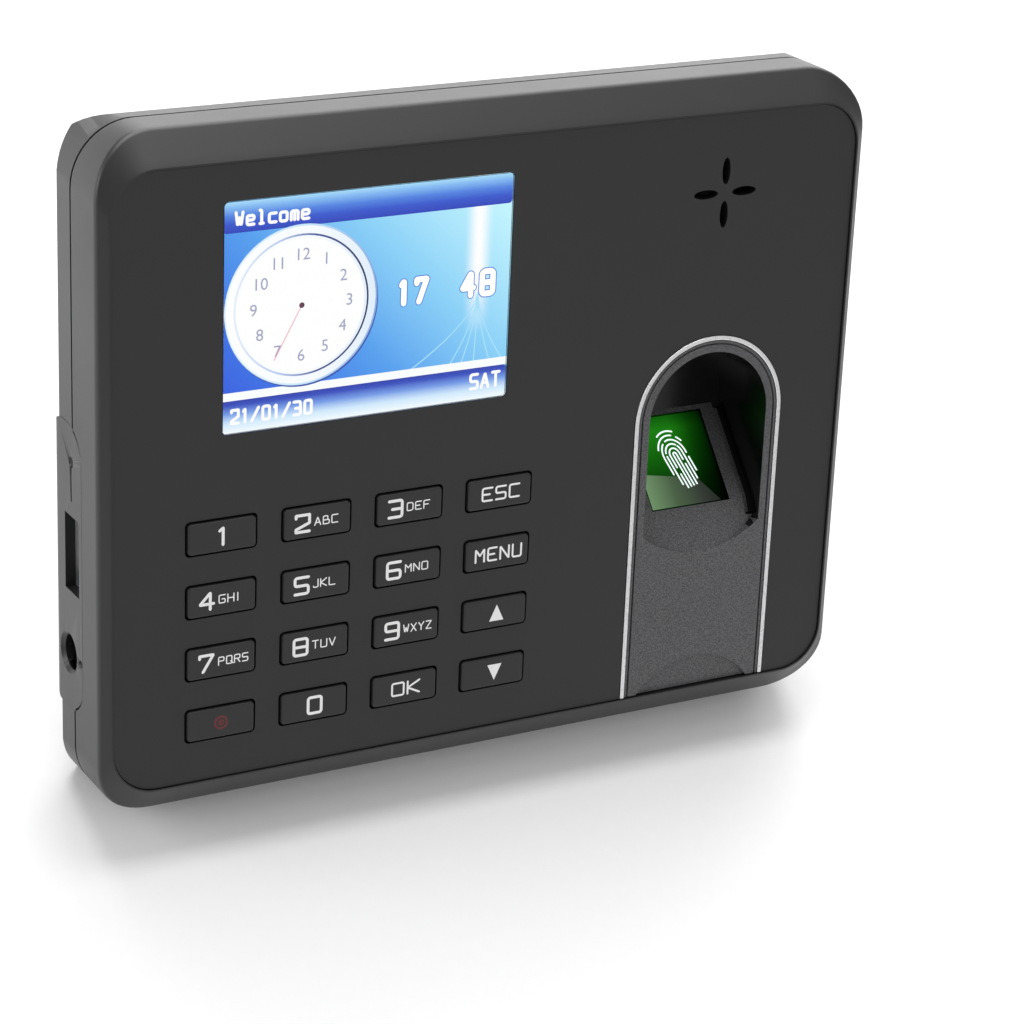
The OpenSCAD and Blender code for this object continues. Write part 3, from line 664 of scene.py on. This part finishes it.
class TERMINAL_OT_frame(bpy.types.Operator):
    """Moulded surround of the face, with its smooth bevel, and the plate behind the panel"""

    bl_idname = "terminal.frame"
    bl_label = "Front frame"

    # the wall, and how deep the bevel's outer edge lies at the case's sides and ends
    wall = 2.2
    side_depth = 1.1
    end_depth = 4.37
    corner_r = 10
    seam_range = (10, 11.5)
    # growth over the panel, corner radius and depth of each turn over the lip round the recess
    lip = [(0.2, 7.35, PANEL_T + 0.6), (0.2, 7.35, LIP_Y + 0.1), (0.27, 7.4, LIP_Y + 0.02),
           (0.4, 7.45, LIP_Y), (0.6, 7.55, LIP_Y + 0.01)]
    bevel_top = (0.7, 7.6, LIP_Y)
    # the rear shell's port block shows in this much of its side, and the cut ends this deep
    block_side = 0.3
    block_front = 10.6
    cut_depth = 20.5
    cut_r = 5.5
    cut_gap = 0.1

    def execute(self, context):
        finish = moulded("satin_abs_frame", colours().frame, 0.42, 0.12, 0.006)
        rim = cut(self.rim(size("bevel_roll")), self.port_cutter())
        mesh = joined("front_frame_finished", [rim, self.inner_plate()])
        placed("frame_moulding", shaded(mesh), finish,
               replaces=["front_frame"])
        return {"FINISHED"}

    def rim(self, roll):
        """The surround as one skin: recess wall, lip, bevel, rolled edge, outer wall, inside."""
        low, high = self.seam_range
        depths = np.unique(np.round(node_points("front_frame")[:, 1], 3))
        seam = max((y for y in depths if low < y < high), default=FRAME_HIGH[1])
        edge, turns = rounded_outline(CASE_W, CASE_H, self.corner_r)
        ease = turns * turns * (3 - 2 * turns)
        edge_y = self.side_depth + (self.end_depth - self.side_depth) * ease

        def ring(outline, depth):
            depth = np.broadcast_to(depth, len(outline))
            return np.column_stack([outline[:, 0], depth, outline[:, 1]])

        def panel_ring(growth, radius, depth):
            return ring(rounded_outline(PANEL_W + growth, PANEL_H + growth, radius)[0], depth)

        def case_ring(inset, depth):
            return ring(rounded_outline(CASE_W - 2 * inset, CASE_H - 2 * inset,
                                        self.corner_r - inset)[0], depth)

        top = panel_ring(*self.bevel_top)
        corner = ring(edge, edge_y)
        below = ring(edge, edge_y + roll)
        above = corner + (top - corner) * roll / np.linalg.norm(corner - top, axis=1)[:, None]
        rings = [panel_ring(*turn) for turn in self.lip]
        rings += [top + (above - top) * t for t in (0.02, 0.25, 0.5, 0.75)]
        rings += [(1 - t) ** 2 * above + 2 * t * (1 - t) * corner + t ** 2 * below
                  for t in np.linspace(0, 1, 7)]
        rings += [ring(edge, seam - 0.2), case_ring(0.15, seam), case_ring(self.wall, seam),
                  case_ring(self.wall, PANEL_T + 1.2)]
        return mesh_of("rim", *loft(rings, closed=True))

    def port_cutter(self):
        """A rounded bar that clears the rear shell's port block."""
        points = node_points("rear_shell")
        side = points[(points[:, 0] < -CASE_W / 2 + self.block_side)
                      & (points[:, 1] < self.block_front)]
        low, high = side.min(0), side.max(0)
        y0, y1 = low[1] - self.cut_gap, self.cut_depth
        z0, z1 = low[2] - self.cut_gap, high[2] + self.cut_gap
        ring, _ = rounded_outline(y1 - y0, z1 - z0, self.cut_r, 10, 2)
        return mesh_of("port_cutter", *loft([
            [(x, (y0 + y1) / 2 + a, (z0 + z1) / 2 + b) for a, b in ring]
            for x in (-CASE_W / 2 - 3, -CASE_W / 2 + 6)]))

    @staticmethod
    def inner_plate():
        """The plate and posts behind the panel, kept from the CAD node inside the surround."""
        keep = plate("keep", (0, 0), PANEL_W - 0.2, PANEL_H - 0.3, 7.2, PANEL_T + 0.02, 60)
        return cut(cad_copy("front_frame"), keep, "INTERSECT")


class TERMINAL_OT_panel(bpy.types.Operator):
    """Face panel with softened openings"""

    bl_idname = "terminal.panel"
    bl_label = "Face panel"

    def execute(self, context):
        finish = moulded("matt_abs_panel", colours().panel, 0.5, 0.1, 0.004, 0.03)
        placed("panel_moulding", rounded(cad_copy("front_panel"), size("panel_edge"), 2), finish,
               replaces=["front_panel"])
        return {"FINISHED"}


class TERMINAL_OT_keys(bpy.types.Operator):
    """Sixteen key caps with their printed legends, each on its own body"""

    bl_idname = "terminal.keys"
    bl_label = "Keys"

    cap = (11.35, 5.1)
    flange = PANEL_T + 0.05
    legend_thick = 0.03
    digit_w = 2.3
    digit_bold = 0.5
    letter_bold = 0.2
    word_h = 2.15
    word_w = {"ESC": 1.75, "MENU": 1.55, "OK": 2.1}
    word_bold = 0.34
    ring_bold = 0.42

    def execute(self, context):
        finish = moulded("satin_abs_key", colours().keys, 0.45, 0.1, 0.005)
        # The key sides take a near-black painted shade, for the shadow in the gap round each cap.
        shade = moulded("painted_shade_key_side", "#060607", 0.7, 0.1, 0.002)
        ink = moulded("white_screen_ink", colours().ink, 0.55, 0.2, 0.002, 0.01)
        red = moulded("red_screen_ink", colours().mark, 0.5, 0.2, 0.002, 0.02)
        for names, words in zip(KEY_NODES, KEY_ROWS):
            for node, word in zip(names, words):
                self.key(node, word, [finish, shade], red if word == "power" else ink)
        return {"FINISHED"}

    def key(self, node, word, finish_and_shade, ink):
        body = node + "_cap"
        low, high = span(node)
        middle = centre(low, high)
        front = low[1]
        flange = self.flange
        face = plate("cap", middle, *self.cap, 0.6, front, flange + 0.1, size("key_edge"))
        skirt = plate("skirt", middle, high[0] - low[0], high[2] - low[2], 0.3, flange,
                      flange + 0.8)
        stem = disc("stem", middle, 1.6, flange + 0.7, high[1], 24)
        mesh = shaded(joined(node, [face, skirt, stem]))
        # Faces side-on to the face take the painted shade, the rest the key's own finish.
        for polygon in mesh.polygons:
            polygon.material_index = int(abs(polygon.normal.dot(INWARD)) < 0.2)
        placed(node + "_moulding", mesh, finish_and_shade, body, [node])
        legend = facing(self.legend(word, ink), middle, front)
        placed(node + "_legend", shaded(legend), ink, body)

    def legend(self, word, ink):
        """A key's printed mark, drawn in millimetres from the key's middle."""
        tall, small = size("digit_h"), size("letter_h")
        if word in ("up", "down"):
            s = 1 if word == "up" else -1
            corners = [(-1.3, -1.35 * s), (1.3, -1.35 * s), (0, 1.45 * s)]
            points = [(x + 0.3, y, z) for z in (-0.02, 0.015) for x, y in corners]
            faces = [(0, 1, 2), (3, 4, 5), (0, 1, 4, 3), (1, 2, 5, 4), (2, 0, 3, 5)]
            return mesh_of(word, points, faces, Matrix())
        if word == "power":
            rings = []
            for radius in (0.32, 1.0):
                path = [(radius * math.cos(a), radius * math.sin(a))
                        for a in np.linspace(0, 2 * math.pi, 25)[:-1]]
                rings.append((path + [path[0]], 0.0))
            return self.printed(rings, self.ring_bold, ink)
        parts = word.split()
        if len(parts) == 2:
            digit = word_lines(parts[0], tall, self.digit_w, 0, -2.55, -tall / 2, centred=True)
            small_w = 1.02 if len(parts[1]) == 3 else 0.9
            letters = word_lines(parts[1], small, small_w, 0.45, -0.5, -0.6)
            return joined(word, [self.printed(digit, self.digit_bold, ink),
                                 self.printed(letters, self.letter_bold, ink)])
        if len(word) == 1:
            lines = word_lines(word, tall, self.digit_w, 0, 0.1, -tall / 2, centred=True)
            return self.printed(lines, self.digit_bold, ink)
        lines = word_lines(word, self.word_h, self.word_w[word], 0.7, 0.2, -1.05, centred=True)
        return self.printed(lines, self.word_bold, ink)

    def printed(self, lines, width, ink):
        return stroked("lines", lines, width, self.legend_thick, ink)


class TERMINAL_OT_display(bpy.types.Operator):
    """Lit display: the picture with its clock, words and digits, behind a clear window"""

    bl_idname = "terminal.display"
    bl_label = "Display"

    # each sheet of the picture is this thick and lies this far in front of the one before
    sheet = 0.006
    step = 0.008
    head_h = 4.88
    foot_h = 5.25
    clock_at = (12.95, 19.1)
    beams_at = (43.2, 17.5)
    letter_w = 0.5

    def execute(self, context):
        low, high = span("lcd_window")
        self.x, self.z = low[0], low[2]
        self.w, self.h = high[0] - low[0], high[2] - low[2]
        self.front = low[1] + 0.45
        self.layer = 0
        clear = new_material("clear_acrylic_window", Roughness=0.03, IOR=1.49,
                             Transmission_Weight=1.0)[0]
        middle = centre(low, high)
        pane = plate("pane", middle, self.w, self.h, 0.65, low[1], low[1] + 0.3, 0.06)
        placed("window_pane", shaded(pane), clear, replaces=["lcd_window"])
        self.background(middle)
        self.clock()
        self.words()
        return {"FINISHED"}

    def depth(self):
        """Each element lies a hair in front of the one before it."""
        self.layer += 1
        return self.front - self.step * self.layer

    def shown(self, name, mesh, material):
        placed(name, mesh, material)

    def band(self, name, z0, z1, material, radius=0.03):
        """A strip right across the picture."""
        y = self.depth()
        x0, x1 = 0.05, self.w - 0.05
        self.shown(name, plate(name, (self.x + (x0 + x1) / 2, self.z + (z0 + z1) / 2), x1 - x0,
                               z1 - z0, radius, y, y + self.sheet), material)

    def dial(self, name, at, radius, material, thick=None, count=72):
        y = self.depth()
        self.shown(name, disc(name, at, radius, y, y + (thick or self.sheet), count), material)

    def drawn(self, name, lines, width, material, thick=None, at=None):
        mesh = stroked(name, lines, width, thick or self.sheet, material)
        self.shown(name, facing(mesh, at or (self.x, self.z), self.depth()), material)

    def background(self, middle):
        y = self.depth()
        self.shown("picture_sky", plate("sky", middle, self.w - 0.05, self.h - 0.05, 0.6, y,
                                        y + 0.3), lit("lit_sky", self.sky))
        top = self.h - self.head_h
        head = lit("lit_header", shades(1, 1, 4.9, self.x, self.z + top, [
            (0.0, "#1a38b8"), (0.3, "#2a52cc"), (0.55, "#4a80e0"), (0.8, "#80b8f2"),
            (1.0, "#a8e0fc")]))
        self.band("picture_header", top, self.h - 0.03, head, 0.5)
        self.beams()
        foot = lit("lit_footer", shades(1, 1, 5.2, self.x, self.z, [
            (0.0, "#f4fcff"), (0.3, "#cfe9fd"), (0.6, "#6f98e6"), (0.85, "#2746bc"),
            (1.0, "#1a34a8")]))
        self.band("picture_footer", 0.03, self.foot_h, foot, 0.5)
        self.band("picture_stripe", 5.2, 6.5, lit("lit_white", "#fbfeff"))

    def sky(self, tree):
        """Blue at the lower left to pale cyan at the upper right, with a soft column of light."""
        out = in_plane(tree, front_plane(self.x, self.z), self.w, self.h)
        slope = maths(tree, "MULTIPLY", out[1], 0.75)
        share = maths(tree, "MULTIPLY", maths(tree, "ADD", out[0], slope), 0.62)
        base = ramp(tree, share, [(0.0, "#1d48dc"), (0.25, "#2c72e6"), (0.45, "#4a9cee"),
                                  (0.7, "#86d0f8"), (1.0, "#c0f4ff")])
        off = maths(tree, "ABSOLUTE", maths(tree, "SUBTRACT", out[0], 0.885))
        glow = add(tree, "ShaderNodeMapRange",
                   {"From Min": 0.0, "From Max": 0.055, "To Min": 1.0, "To Max": 0.0},
                   {"Value": off}, interpolation_type="SMOOTHSTEP")
        fade = add(tree, "ShaderNodeMapRange", {"From Min": 0.3, "From Max": 0.55},
                   {"Value": out[1]})
        both = maths(tree, "MULTIPLY", glow.outputs[0], fade.outputs[0])
        mixed = add(tree, "ShaderNodeMix", {"B": (1, 1, 1, 1)}, {"Factor": both, "A": base},
                    data_type="RGBA")
        return mixed.outputs["Result"]

    def beams(self):
        """Fine pale curves that fan out below the column of light."""
        x, z = self.beams_at
        lines = [([(x + reach * t ** 1.6, z - 11.2 * t) for t in np.linspace(0, 1, 9)], 0.0)
                 for reach in (-11.5, -4.6, -2.6, -0.4, 2.4, 4.6)]
        self.drawn("picture_beams", lines, 0.2, lit("lit_beam", "#a4e0fb"))

    def clock(self):
        """An analogue clock: white rim, thin dark edge, pale face, numerals and a red hand."""
        at = (self.x + self.clock_at[0], self.z + self.clock_at[1])

        def across(reach, stops):
            return shades(0, 2 * reach, 2 * reach, at[0] - reach, at[1] - reach, stops)

        halo = lit("lit_clock_halo", across(13, [
            (0.0, "#e6f6ff"), (0.55, "#c4e4fb"), (1.0, "#7fa4de")]))
        rim = lit("lit_clock_rim", across(13, [
            (0.0, "#ffffff"), (0.6, "#f6fbff"), (1.0, "#dfeefc")]))
        dark = lit("lit_clock_edge", across(12, [
            (0.0, "#e6f0fd"), (0.35, "#b4c8ee"), (0.6, "#3c4f96"), (1.0, "#141c4c")]))
        self.dial("picture_clock_shadow", (at[0] + 0.16, at[1] - 0.3), 12.72,
                  lit("lit_clock_shadow", "#2b49ab"))
        for name, radius, material in [
                ("halo", 12.75, halo), ("rim", 12.45, rim), ("edge", 11.25, dark),
                ("inner", 10.95, rim), ("face", 10.5, lit("lit_clock_face", "#ffffff"))]:
            self.dial("picture_clock_" + name, at, radius, material)
        y = self.depth()
        numerals = []
        for hour in range(1, 13):
            a = math.radians(90 - 30 * hour)
            spot = (at[0] + 8.0 * math.cos(a), at[1] + 8.0 * math.sin(a) - 0.85)
            numerals.append(facing(numeral(str(hour), 1.95), spot, y))
        self.shown("picture_numerals", joined("numerals", numerals),
                   lit("lit_numerals", "#9ea3c2"))
        end = math.radians(-118.5)
        hand = [([(0, 0), (9.4 * math.cos(end), 9.4 * math.sin(end))], 0.0)]
        self.drawn("picture_hand", hand, 0.16, lit("lit_hand", "#f0a0b4"), 0.0048, at)
        self.dial("picture_hub", at, 0.45, lit("lit_hub", "#5a2f46"), 0.004, 24)

    def words(self):
        """The greeting, the date, the day, and the hour with its thin blue outline."""
        white = lit("lit_words", "#ffffff", 1.3)
        blue = lit("lit_outline", "#4a7fd6")
        for name, text, layout in [
                ("greeting", "Welcome", (2.05, 1.12, 0.68, 1.95, self.h - 3.75)),
                ("date", "21/01/30", (2.1, 1.12, 0.72, 1.5, 1.6)),
                ("day", "SAT", (2.3, 1.25, 0.68, 42.4, 1.85))]:
            self.drawn("picture_" + name, word_lines(text, *layout), self.letter_w, white)
        hours = word_lines("17", 3.6, 1.7, 1.6, 29.6, 17.35)
        hours += word_lines("48", 3.6, 1.9, 1.5, 40.4, 17.35)
        self.drawn("picture_hour_outline", hours, 1.3, blue)
        self.drawn("picture_hour", hours, 0.95, white)


class TERMINAL_OT_finger_well(bpy.types.Operator):
    """Sand-textured finger guide, plated trim and the green-lit sensor window"""

    bl_idname = "terminal.finger_well"
    bl_label = "Finger well"

    # the window's slope and its length up that slope
    slope = 41.5
    length = 16.35
    # the guide is painted dark as shade deep in the well: from this depth on its walls, and
    # everywhere behind the other
    wall_depth = 0.7
    floor_depth = 14.8

    def execute(self, context):
        sand = moulded("sand_abs_guide", colours().guide, 0.5, 0.24, 0.08, 0.45, 1.0)
        # A near-black glossy material that paints the shade deep in the well.
        gloss = moulded("painted_shade_well_wall", "#050506", 0.22, 0.3, 0.001)
        mesh = rounded(cad_copy("finger_guide"), 0.08, 1)
        # Faces deep in the well take the painted shade.
        for polygon in mesh.polygons:
            depth = (TO_CASE @ polygon.center).y
            side_on = abs(polygon.normal.dot(INWARD)) < 0.3
            polygon.material_index = int(
                depth > self.wall_depth and (side_on or depth > self.floor_depth))
        placed("guide_moulding", mesh, [sand, gloss],
               replaces=["finger_guide"])
        chrome = metal("satin_chrome_trim", "#f4f4f5", 0.28, (1, 1, 0.05), 0.4, 0.0005)
        placed("trim_strip", rounded(cad_copy("finger_trim"), 0.12, 2), chrome,
               replaces=["finger_trim"])
        self.window()
        return {"FINISHED"}

    def window(self):
        """The window's slope runs up the y axis of its own plane."""
        points = node_points("sensor_window")
        low, high = points.min(0), points.max(0)
        front_low = points[np.argmin(points[:, 1])]
        slope = math.radians(self.slope)
        up = Vector((0, math.sin(slope), math.cos(slope)))
        out = Vector((0, -math.cos(slope), math.sin(slope)))
        turn = Matrix((Vector((1, 0, 0)), up, out)).transposed().to_4x4()
        corner = Vector((low[0], front_low[1], front_low[2]))
        place = CASE @ Matrix.Translation(corner) @ turn
        width = high[0] - low[0]

        def green(tree):
            axes = in_plane(tree, place, width, self.length)
            rise = ramp(tree, axes[1], [(0.0, "#08200a"), (0.3, "#0e400c"), (0.6, "#166a10"),
                                        (0.85, "#1f8416"), (1.0, "#146010")])
            side = ramp(tree, axes[0], [(0.0, "#ffffff"), (0.55, "#e8e8e8"), (0.8, "#8a8a8a"),
                                        (1.0, "#3a3a3a")])
            return add(tree, "ShaderNodeMix", {"Factor": 1.0}, {"A": rise, "B": side},
                       data_type="RGBA", blend_type="MULTIPLY").outputs["Result"]

        # A pale painted reflection over the window's lower left, brightest at the left and dimming
        # to the right.
        def haze(tree):
            return ramp(tree, in_plane(tree, place, width, self.length)[0], [
                (0.0, "#62805c"), (0.35, "#42553e"), (0.7, "#2e332e"), (1.0, "#1a1c1a")])

        glass = lit("green_lit_glass", green, 1.0)
        glass.node_tree.nodes["Principled BSDF"].inputs["Roughness"].default_value = 0.1
        placed("sensor_glass_pane", rounded(cad_copy("sensor_window"), 0.08, 2), glass,
               replaces=["sensor_window"])
        # A glowing facet over the glass paints a reflection on the window.
        facet = [(0.1, 0.1), (13.4, 0.1), (10.2, 4.6), (0.1, 6.5)]
        rings = [[(x, y, z) for x, y in facet] for z in (0.005, 0.02)]
        placed("sensor_reflection", mesh_of("facet", *loft(rings), place),
               lit("prism_reflection", haze))
        self.ridges(place, width)

    def ridges(self, place, width):
        """Nested loops of a plain fingerprint, cut by an oval and broken by short gaps."""
        glow = lit("white_lit_ridges", "#e9fff6", 1.15)
        middle = (width / 2 + 0.3, 8.6)
        half_w, half_h, lean = 2.75, 6.1, math.radians(14)
        loops, first, spacing, foot, drop = 6, 0.3, 0.64, 0.6, 13
        lines = []
        for k in range(loops):
            radius = first + spacing * k
            runs, run = [], []
            for a in np.linspace(-1.0, 1.0, 61):
                if abs(a) < 0.5:
                    turn = math.pi / 2 * (1 - a / 0.5)
                    x, y = radius * math.cos(turn), 1.25 * radius * math.sin(turn) + foot
                else:
                    x, y = math.copysign(radius, a), foot - (abs(a) - 0.5) * drop
                inside = (x / half_w) ** 2 + (y / half_h) ** 2 < 1
                gap = abs(((a * 7 + 2.6 * k) % 4.7) - 2.3) < 0.16
                if inside and not gap:
                    run.append((x, y))
                else:
                    runs.append(run)
                    run = []
            lines += [([(middle[0] + x * math.cos(lean) - y * math.sin(lean),
                         middle[1] + x * math.sin(lean) + y * math.cos(lean)) for x, y in run],
                       0.0) for run in [*runs, run] if len(run) > 2]
        mesh = stroked("ridges", lines, size("ridge_w"), 0.03, glow)
        mesh.transform(place @ Matrix.Translation((0, 0, 0.03)))
        placed("sensor_ridges", shaded(mesh), glow)


class TERMINAL_OT_shell(bpy.types.Operator):
    """Rear shell with softened edges, its ports and its case screws"""

    bl_idname = "terminal.shell"
    bl_label = "Rear shell"

    # degrees between faces that stay creased, and of a ridge edge that is rolled
    crease = 28
    ridge_crease = 16
    # depths between which the ridge lies, and how near the case's sides and ends
    ridge_depths = (13.8, 17.2)
    ridge_side = 9
    ridge_end = 6

    def execute(self, context):
        finish = moulded("satin_abs_shell", colours().shell, 0.4, 0.12, 0.006)
        placed("shell_moulding", shaded(self.rolled(), self.crease, INWARD), finish,
               replaces=["rear_shell"])
        steel = metal("nickel_plated_steel", "#c2c4c6", 0.3, (0.1, 1, 1))
        black = moulded("black_pbt", "#141415", 0.45, 0.15, 0.004)
        for node, material in [("usb_shell", steel), ("dc_jack", black), ("dc_pin", steel),
                               ("usb_tongue", moulded("white_lcp", "#dcdcd6", 0.5, 0.15, 0.003)),
                               ("case_screws", metal("blackened_steel", "#2a2a2c", 0.38))]:
            dressed(node, material)
        return {"FINISHED"}

    def rolled(self):
        """A copy of the shell with the ridge round its back rolled to a wide radius."""
        mesh = cad_copy("rear_shell", False)
        near, far = self.ridge_depths
        sharp = math.radians(self.ridge_crease)
        edges = []
        with editing(mesh) as bm:
            for edge in bm.edges:
                a, b = (TO_CASE @ v.co for v in edge.verts)
                on_ridge = near < a.y < far and near < b.y < far
                outside = all(abs(p.x) > CASE_W / 2 - self.ridge_side
                              or abs(p.z) > CASE_H / 2 - self.ridge_end for p in (a, b))
                crease = len(edge.link_faces) == 2 and edge.calc_face_angle() > sharp
                along = abs(a.y - b.y) < 0.75 * (a - b).length
                if on_ridge and outside and crease and along and edge.is_convex:
                    edges.append(edge)
            bmesh.ops.bevel(bm, geom=edges, offset=size("roll") * MM, offset_type="OFFSET",
                            segments=5, profile=0.5, affect="EDGES", clamp_overlap=True)
        return mesh


class TERMINAL_OT_labels(bpy.types.Operator):
    """Rear table label, round sticker and bar sticker, with generic marks only"""

    bl_idname = "terminal.labels"
    bl_label = "Labels"

    def execute(self, context):
        film = moulded("printed_film", "#303033", 0.35, 0.2, 0.002)
        paper = moulded("white_paper_film", "#e4e4e2", 0.45, 0.2, 0.002, 0.02)
        rule = moulded("white_print", "#c8c8ca", 0.5, 0.2, 0.001, 0.01)
        black = moulded("black_print", "#1a1a1b", 0.5, 0.2, 0.001, 0.01)
        for node, material in [("rear_label", film), ("round_sticker", paper),
                               ("code_sticker", paper)]:
            dressed(node, material)
        self.table(rule)
        self.bars(black)
        return {"FINISHED"}

    @staticmethod
    def table(rule):
        """Four ruled rows, with three check boxes and plain dashes where words would be."""
        low, high = span("rear_label")
        w, h = high[0] - low[0] - 1.2, high[2] - low[2] - 1.2

        def box(x, y, half_w, half_h):
            return ([(x - half_w, y - half_h), (x + half_w, y - half_h), (x + half_w, y + half_h),
                     (x - half_w, y + half_h), (x - half_w, y - half_h)], 0.0)

        lines = [box(0.0, 0.0, w / 2, h / 2)]
        lines += [([(-w / 2, k * h / 4), (w / 2, k * h / 4)], 0.0) for k in (-1, 0, 1)]
        for row, runs in enumerate([[(-13, 13)], [(-17, -4)], [(-17, -1), (2, 12)],
                                    [(-17, 0), (3, 13)]]):
            y = h / 2 - (row + 0.5) * h / 4
            lines += [([(a, y), (b, y)], 0.0) for a, b in runs]
        lines += [box(x, h / 2 - 1.5 * h / 4, 1.1, 1.1) for x in (0.0, 6.5, 13.0)]
        mesh = stroked("table", lines, 0.28, 0.028, rule)
        facing(mesh, centre(low, high), high[1], behind=True)
        placed("label_rules", shaded(mesh), rule)

    @staticmethod
    def bars(black):
        """A block of meaningless bars down the sticker."""
        low, high = span("code_sticker")
        point = bpy.data.meshes.new("start")
        point.from_pydata([(0, 0, 0)], [], [])
        mesh = grown(bars_tree(), point, {"Count": 42, "Length": 26.0, "Height": 4.6, "Seed": 4,
                                          "Material": black})
        mesh.transform(Matrix.Translation((0.8, -13.0, 0.0)))
        facing(mesh, centre(low, high), high[1], behind=True)
        placed("sticker_bars", mesh, black)


class TERMINAL_OT_stand(bpy.types.Operator):
    """Bent sheet stand with rolled edges, and its rubber pads"""

    bl_idname = "terminal.stand"
    bl_label = "Stand"

    def execute(self, context):
        paint = moulded("satin_painted_steel", colours().stand, 0.33, 0.25, 0.004, 0.03)
        placed("stand_sheet", rounded(cad_copy("stand_bracket"), 0.35, 3), paint, "stand",
               ["stand_bracket"])
        dressed("stand_pads", moulded("black_rubber", "#161617", 0.8, 0.4, 0.01))
        return {"FINISHED"}


class TERMINAL_OT_insides(bpy.types.Operator):
    """Boards, modules and other pieces inside the case"""

    bl_idname = "terminal.insides"
    bl_label = "Inside pieces"

    def execute(self, context):
        board = moulded("green_solder_mask", "#14503a", 0.3, 0.6, 0.004, 0.1)
        black = moulded("black_epoxy", "#1a1a1b", 0.5, 0.2, 0.004)
        steel = metal("pressed_tinplate", "#b8babc", 0.35)
        brass = metal("gold_plated_dome", "#c9a24a", 0.3)
        silicone = moulded("grey_silicone", "#84878a", 0.7, 0.3, 0.004)
        film = moulded("amber_polyimide", "#9a5a18", 0.35, 0.3, 0.002)
        sleeve = moulded("red_pvc_sleeve", "#a02c24", 0.4, 0.2, 0.002)
        for material, nodes in [
                (board, ["main_board", "keypad_board", "sensor_board"]),
                (black, ["board_parts", "sensor_block", "speaker_cone"]),
                (steel, ["lcd_module", "speaker_frame", "backup_cell", "board_screws"]),
                (brass, ["keypad_domes"]), (silicone, ["keypad_mat"]), (film, ["lcd_ribbon"]),
                (black, ["lcd_screen"]), (sleeve, ["sensor_cable"])]:
            for node in nodes:
                dressed(node, material)
        return {"FINISHED"}


class TERMINAL_OT_stage(bpy.types.Operator):
    """Pale floor, soft studio lights and the camera"""

    bl_idname = "terminal.stage"
    bl_label = "Stage"

    # the camera's place and aim in case millimetres, and its roll about its own line of sight
    eye = (-235.0, -423.6, 176.65)
    aim = (3.69, 0.0, -12.68)
    roll = -2.45
    ambient = 0.52

    def execute(self, context):
        scene = context.scene
        scene.view_settings.view_transform = "Standard"
        world = bpy.data.worlds.new("studio")
        scene.world = world
        world.use_nodes = True
        sky = world.node_tree.nodes["Background"].inputs
        sky["Color"].default_value = (1, 1, 1, 1)
        sky["Strength"].default_value = self.ambient
        self.floor()
        self.lamps()
        self.camera(scene)
        return {"FINISHED"}

    @staticmethod
    def floor():
        mesh = bpy.data.meshes.new("floor")
        reach = 3.0
        mesh.from_pydata([(-reach, -reach, 0), (reach, -reach, 0), (reach, reach, 0),
                          (-reach, reach, 0)], [], [(0, 1, 2, 3)])
        mesh.materials.append(moulded("pale_floor_card", colours().floor, 0.8, 2.0, 0.0, 0.004))
        floor = linked("studio_floor", mesh)

    @staticmethod
    def lamps():
        """Soft boxes over the top, behind it for the rim of light, at the left and in front."""
        for name, place, width, power in [
                ("top_box", (0.1, 0.8, 1.2), 1.0, 16.0),
                ("back_box", (0.7, 1.2, 0.4), 1.2, 16.0),
                ("left_box", (-1.2, 0.3, 0.5), 0.8, 8.0),
                ("front_box", (0.4, -1.2, 0.9), 0.8, 2.0)]:
            lamp = bpy.data.lights.new(name, "AREA")
            lamp.size = width
            lamp.energy = power
            holder = linked(name, lamp)
            holder.location = place
            holder.rotation_euler = Vector(place).to_track_quat("Z", "Y").to_euler()

    def camera(self, scene):
        data = bpy.data.cameras.new("camera")
        data.lens = scene.terminal_sizes.lens
        data.sensor_width = 36
        data.clip_start = 0.01
        camera = linked("camera", data)
        look = Vector(self.aim) - Vector(self.eye)
        right = look.cross(Vector((0, 0, 1))).normalized()
        up = right.cross(look).normalized()
        turn = Matrix((right, up, -look.normalized())).transposed().to_4x4()
        turn = turn @ Matrix.Rotation(math.radians(-self.roll), 4, "Z")
        flat = CASE.to_quaternion().to_matrix().to_4x4()
        camera.matrix_world = Matrix.Translation(CASE @ Vector(self.eye)) @ flat @ turn
        scene.camera = camera


OPERATORS = [TERMINAL_OT_stage, TERMINAL_OT_frame, TERMINAL_OT_panel, TERMINAL_OT_keys,
             TERMINAL_OT_display, TERMINAL_OT_finger_well, TERMINAL_OT_shell, TERMINAL_OT_labels,
             TERMINAL_OT_stand, TERMINAL_OT_insides]


class TERMINAL_PT_panel(bpy.types.Panel):
    """Lists the terminal's sizes, colours and makers"""

    bl_idname = "TERMINAL_PT_panel"
    bl_label = "Fingerprint terminal"
    bl_space_type = "VIEW_3D"
    bl_region_type = "UI"
    bl_category = "Terminal"

    def draw(self, context):
        for group in (context.scene.terminal_sizes, context.scene.terminal_colours):
            box = self.layout.box()
            for key in group.bl_rna.properties.keys():
                if key not in ("rna_type", "name"):
                    box.prop(group, key)
        for operator in OPERATORS:
            self.layout.operator(operator.bl_idname)


CLASSES = [TerminalSizes, TerminalColours, *OPERATORS, TERMINAL_PT_panel]


def register():
    for item in CLASSES:
        bpy.utils.register_class(item)
    bpy.types.Scene.terminal_sizes = bpy.props.PointerProperty(type=TerminalSizes)
    bpy.types.Scene.terminal_colours = bpy.props.PointerProperty(type=TerminalColours)


def unregister():
    del bpy.types.Scene.terminal_colours
    del bpy.types.Scene.terminal_sizes
    for item in reversed(CLASSES):
        bpy.utils.unregister_class(item)


def main():
    register()
    for operator in OPERATORS:
        family, name = operator.bl_idname.split(".")
        getattr(getattr(bpy.ops, family), name)()


if __name__ == "__main__":
    main()
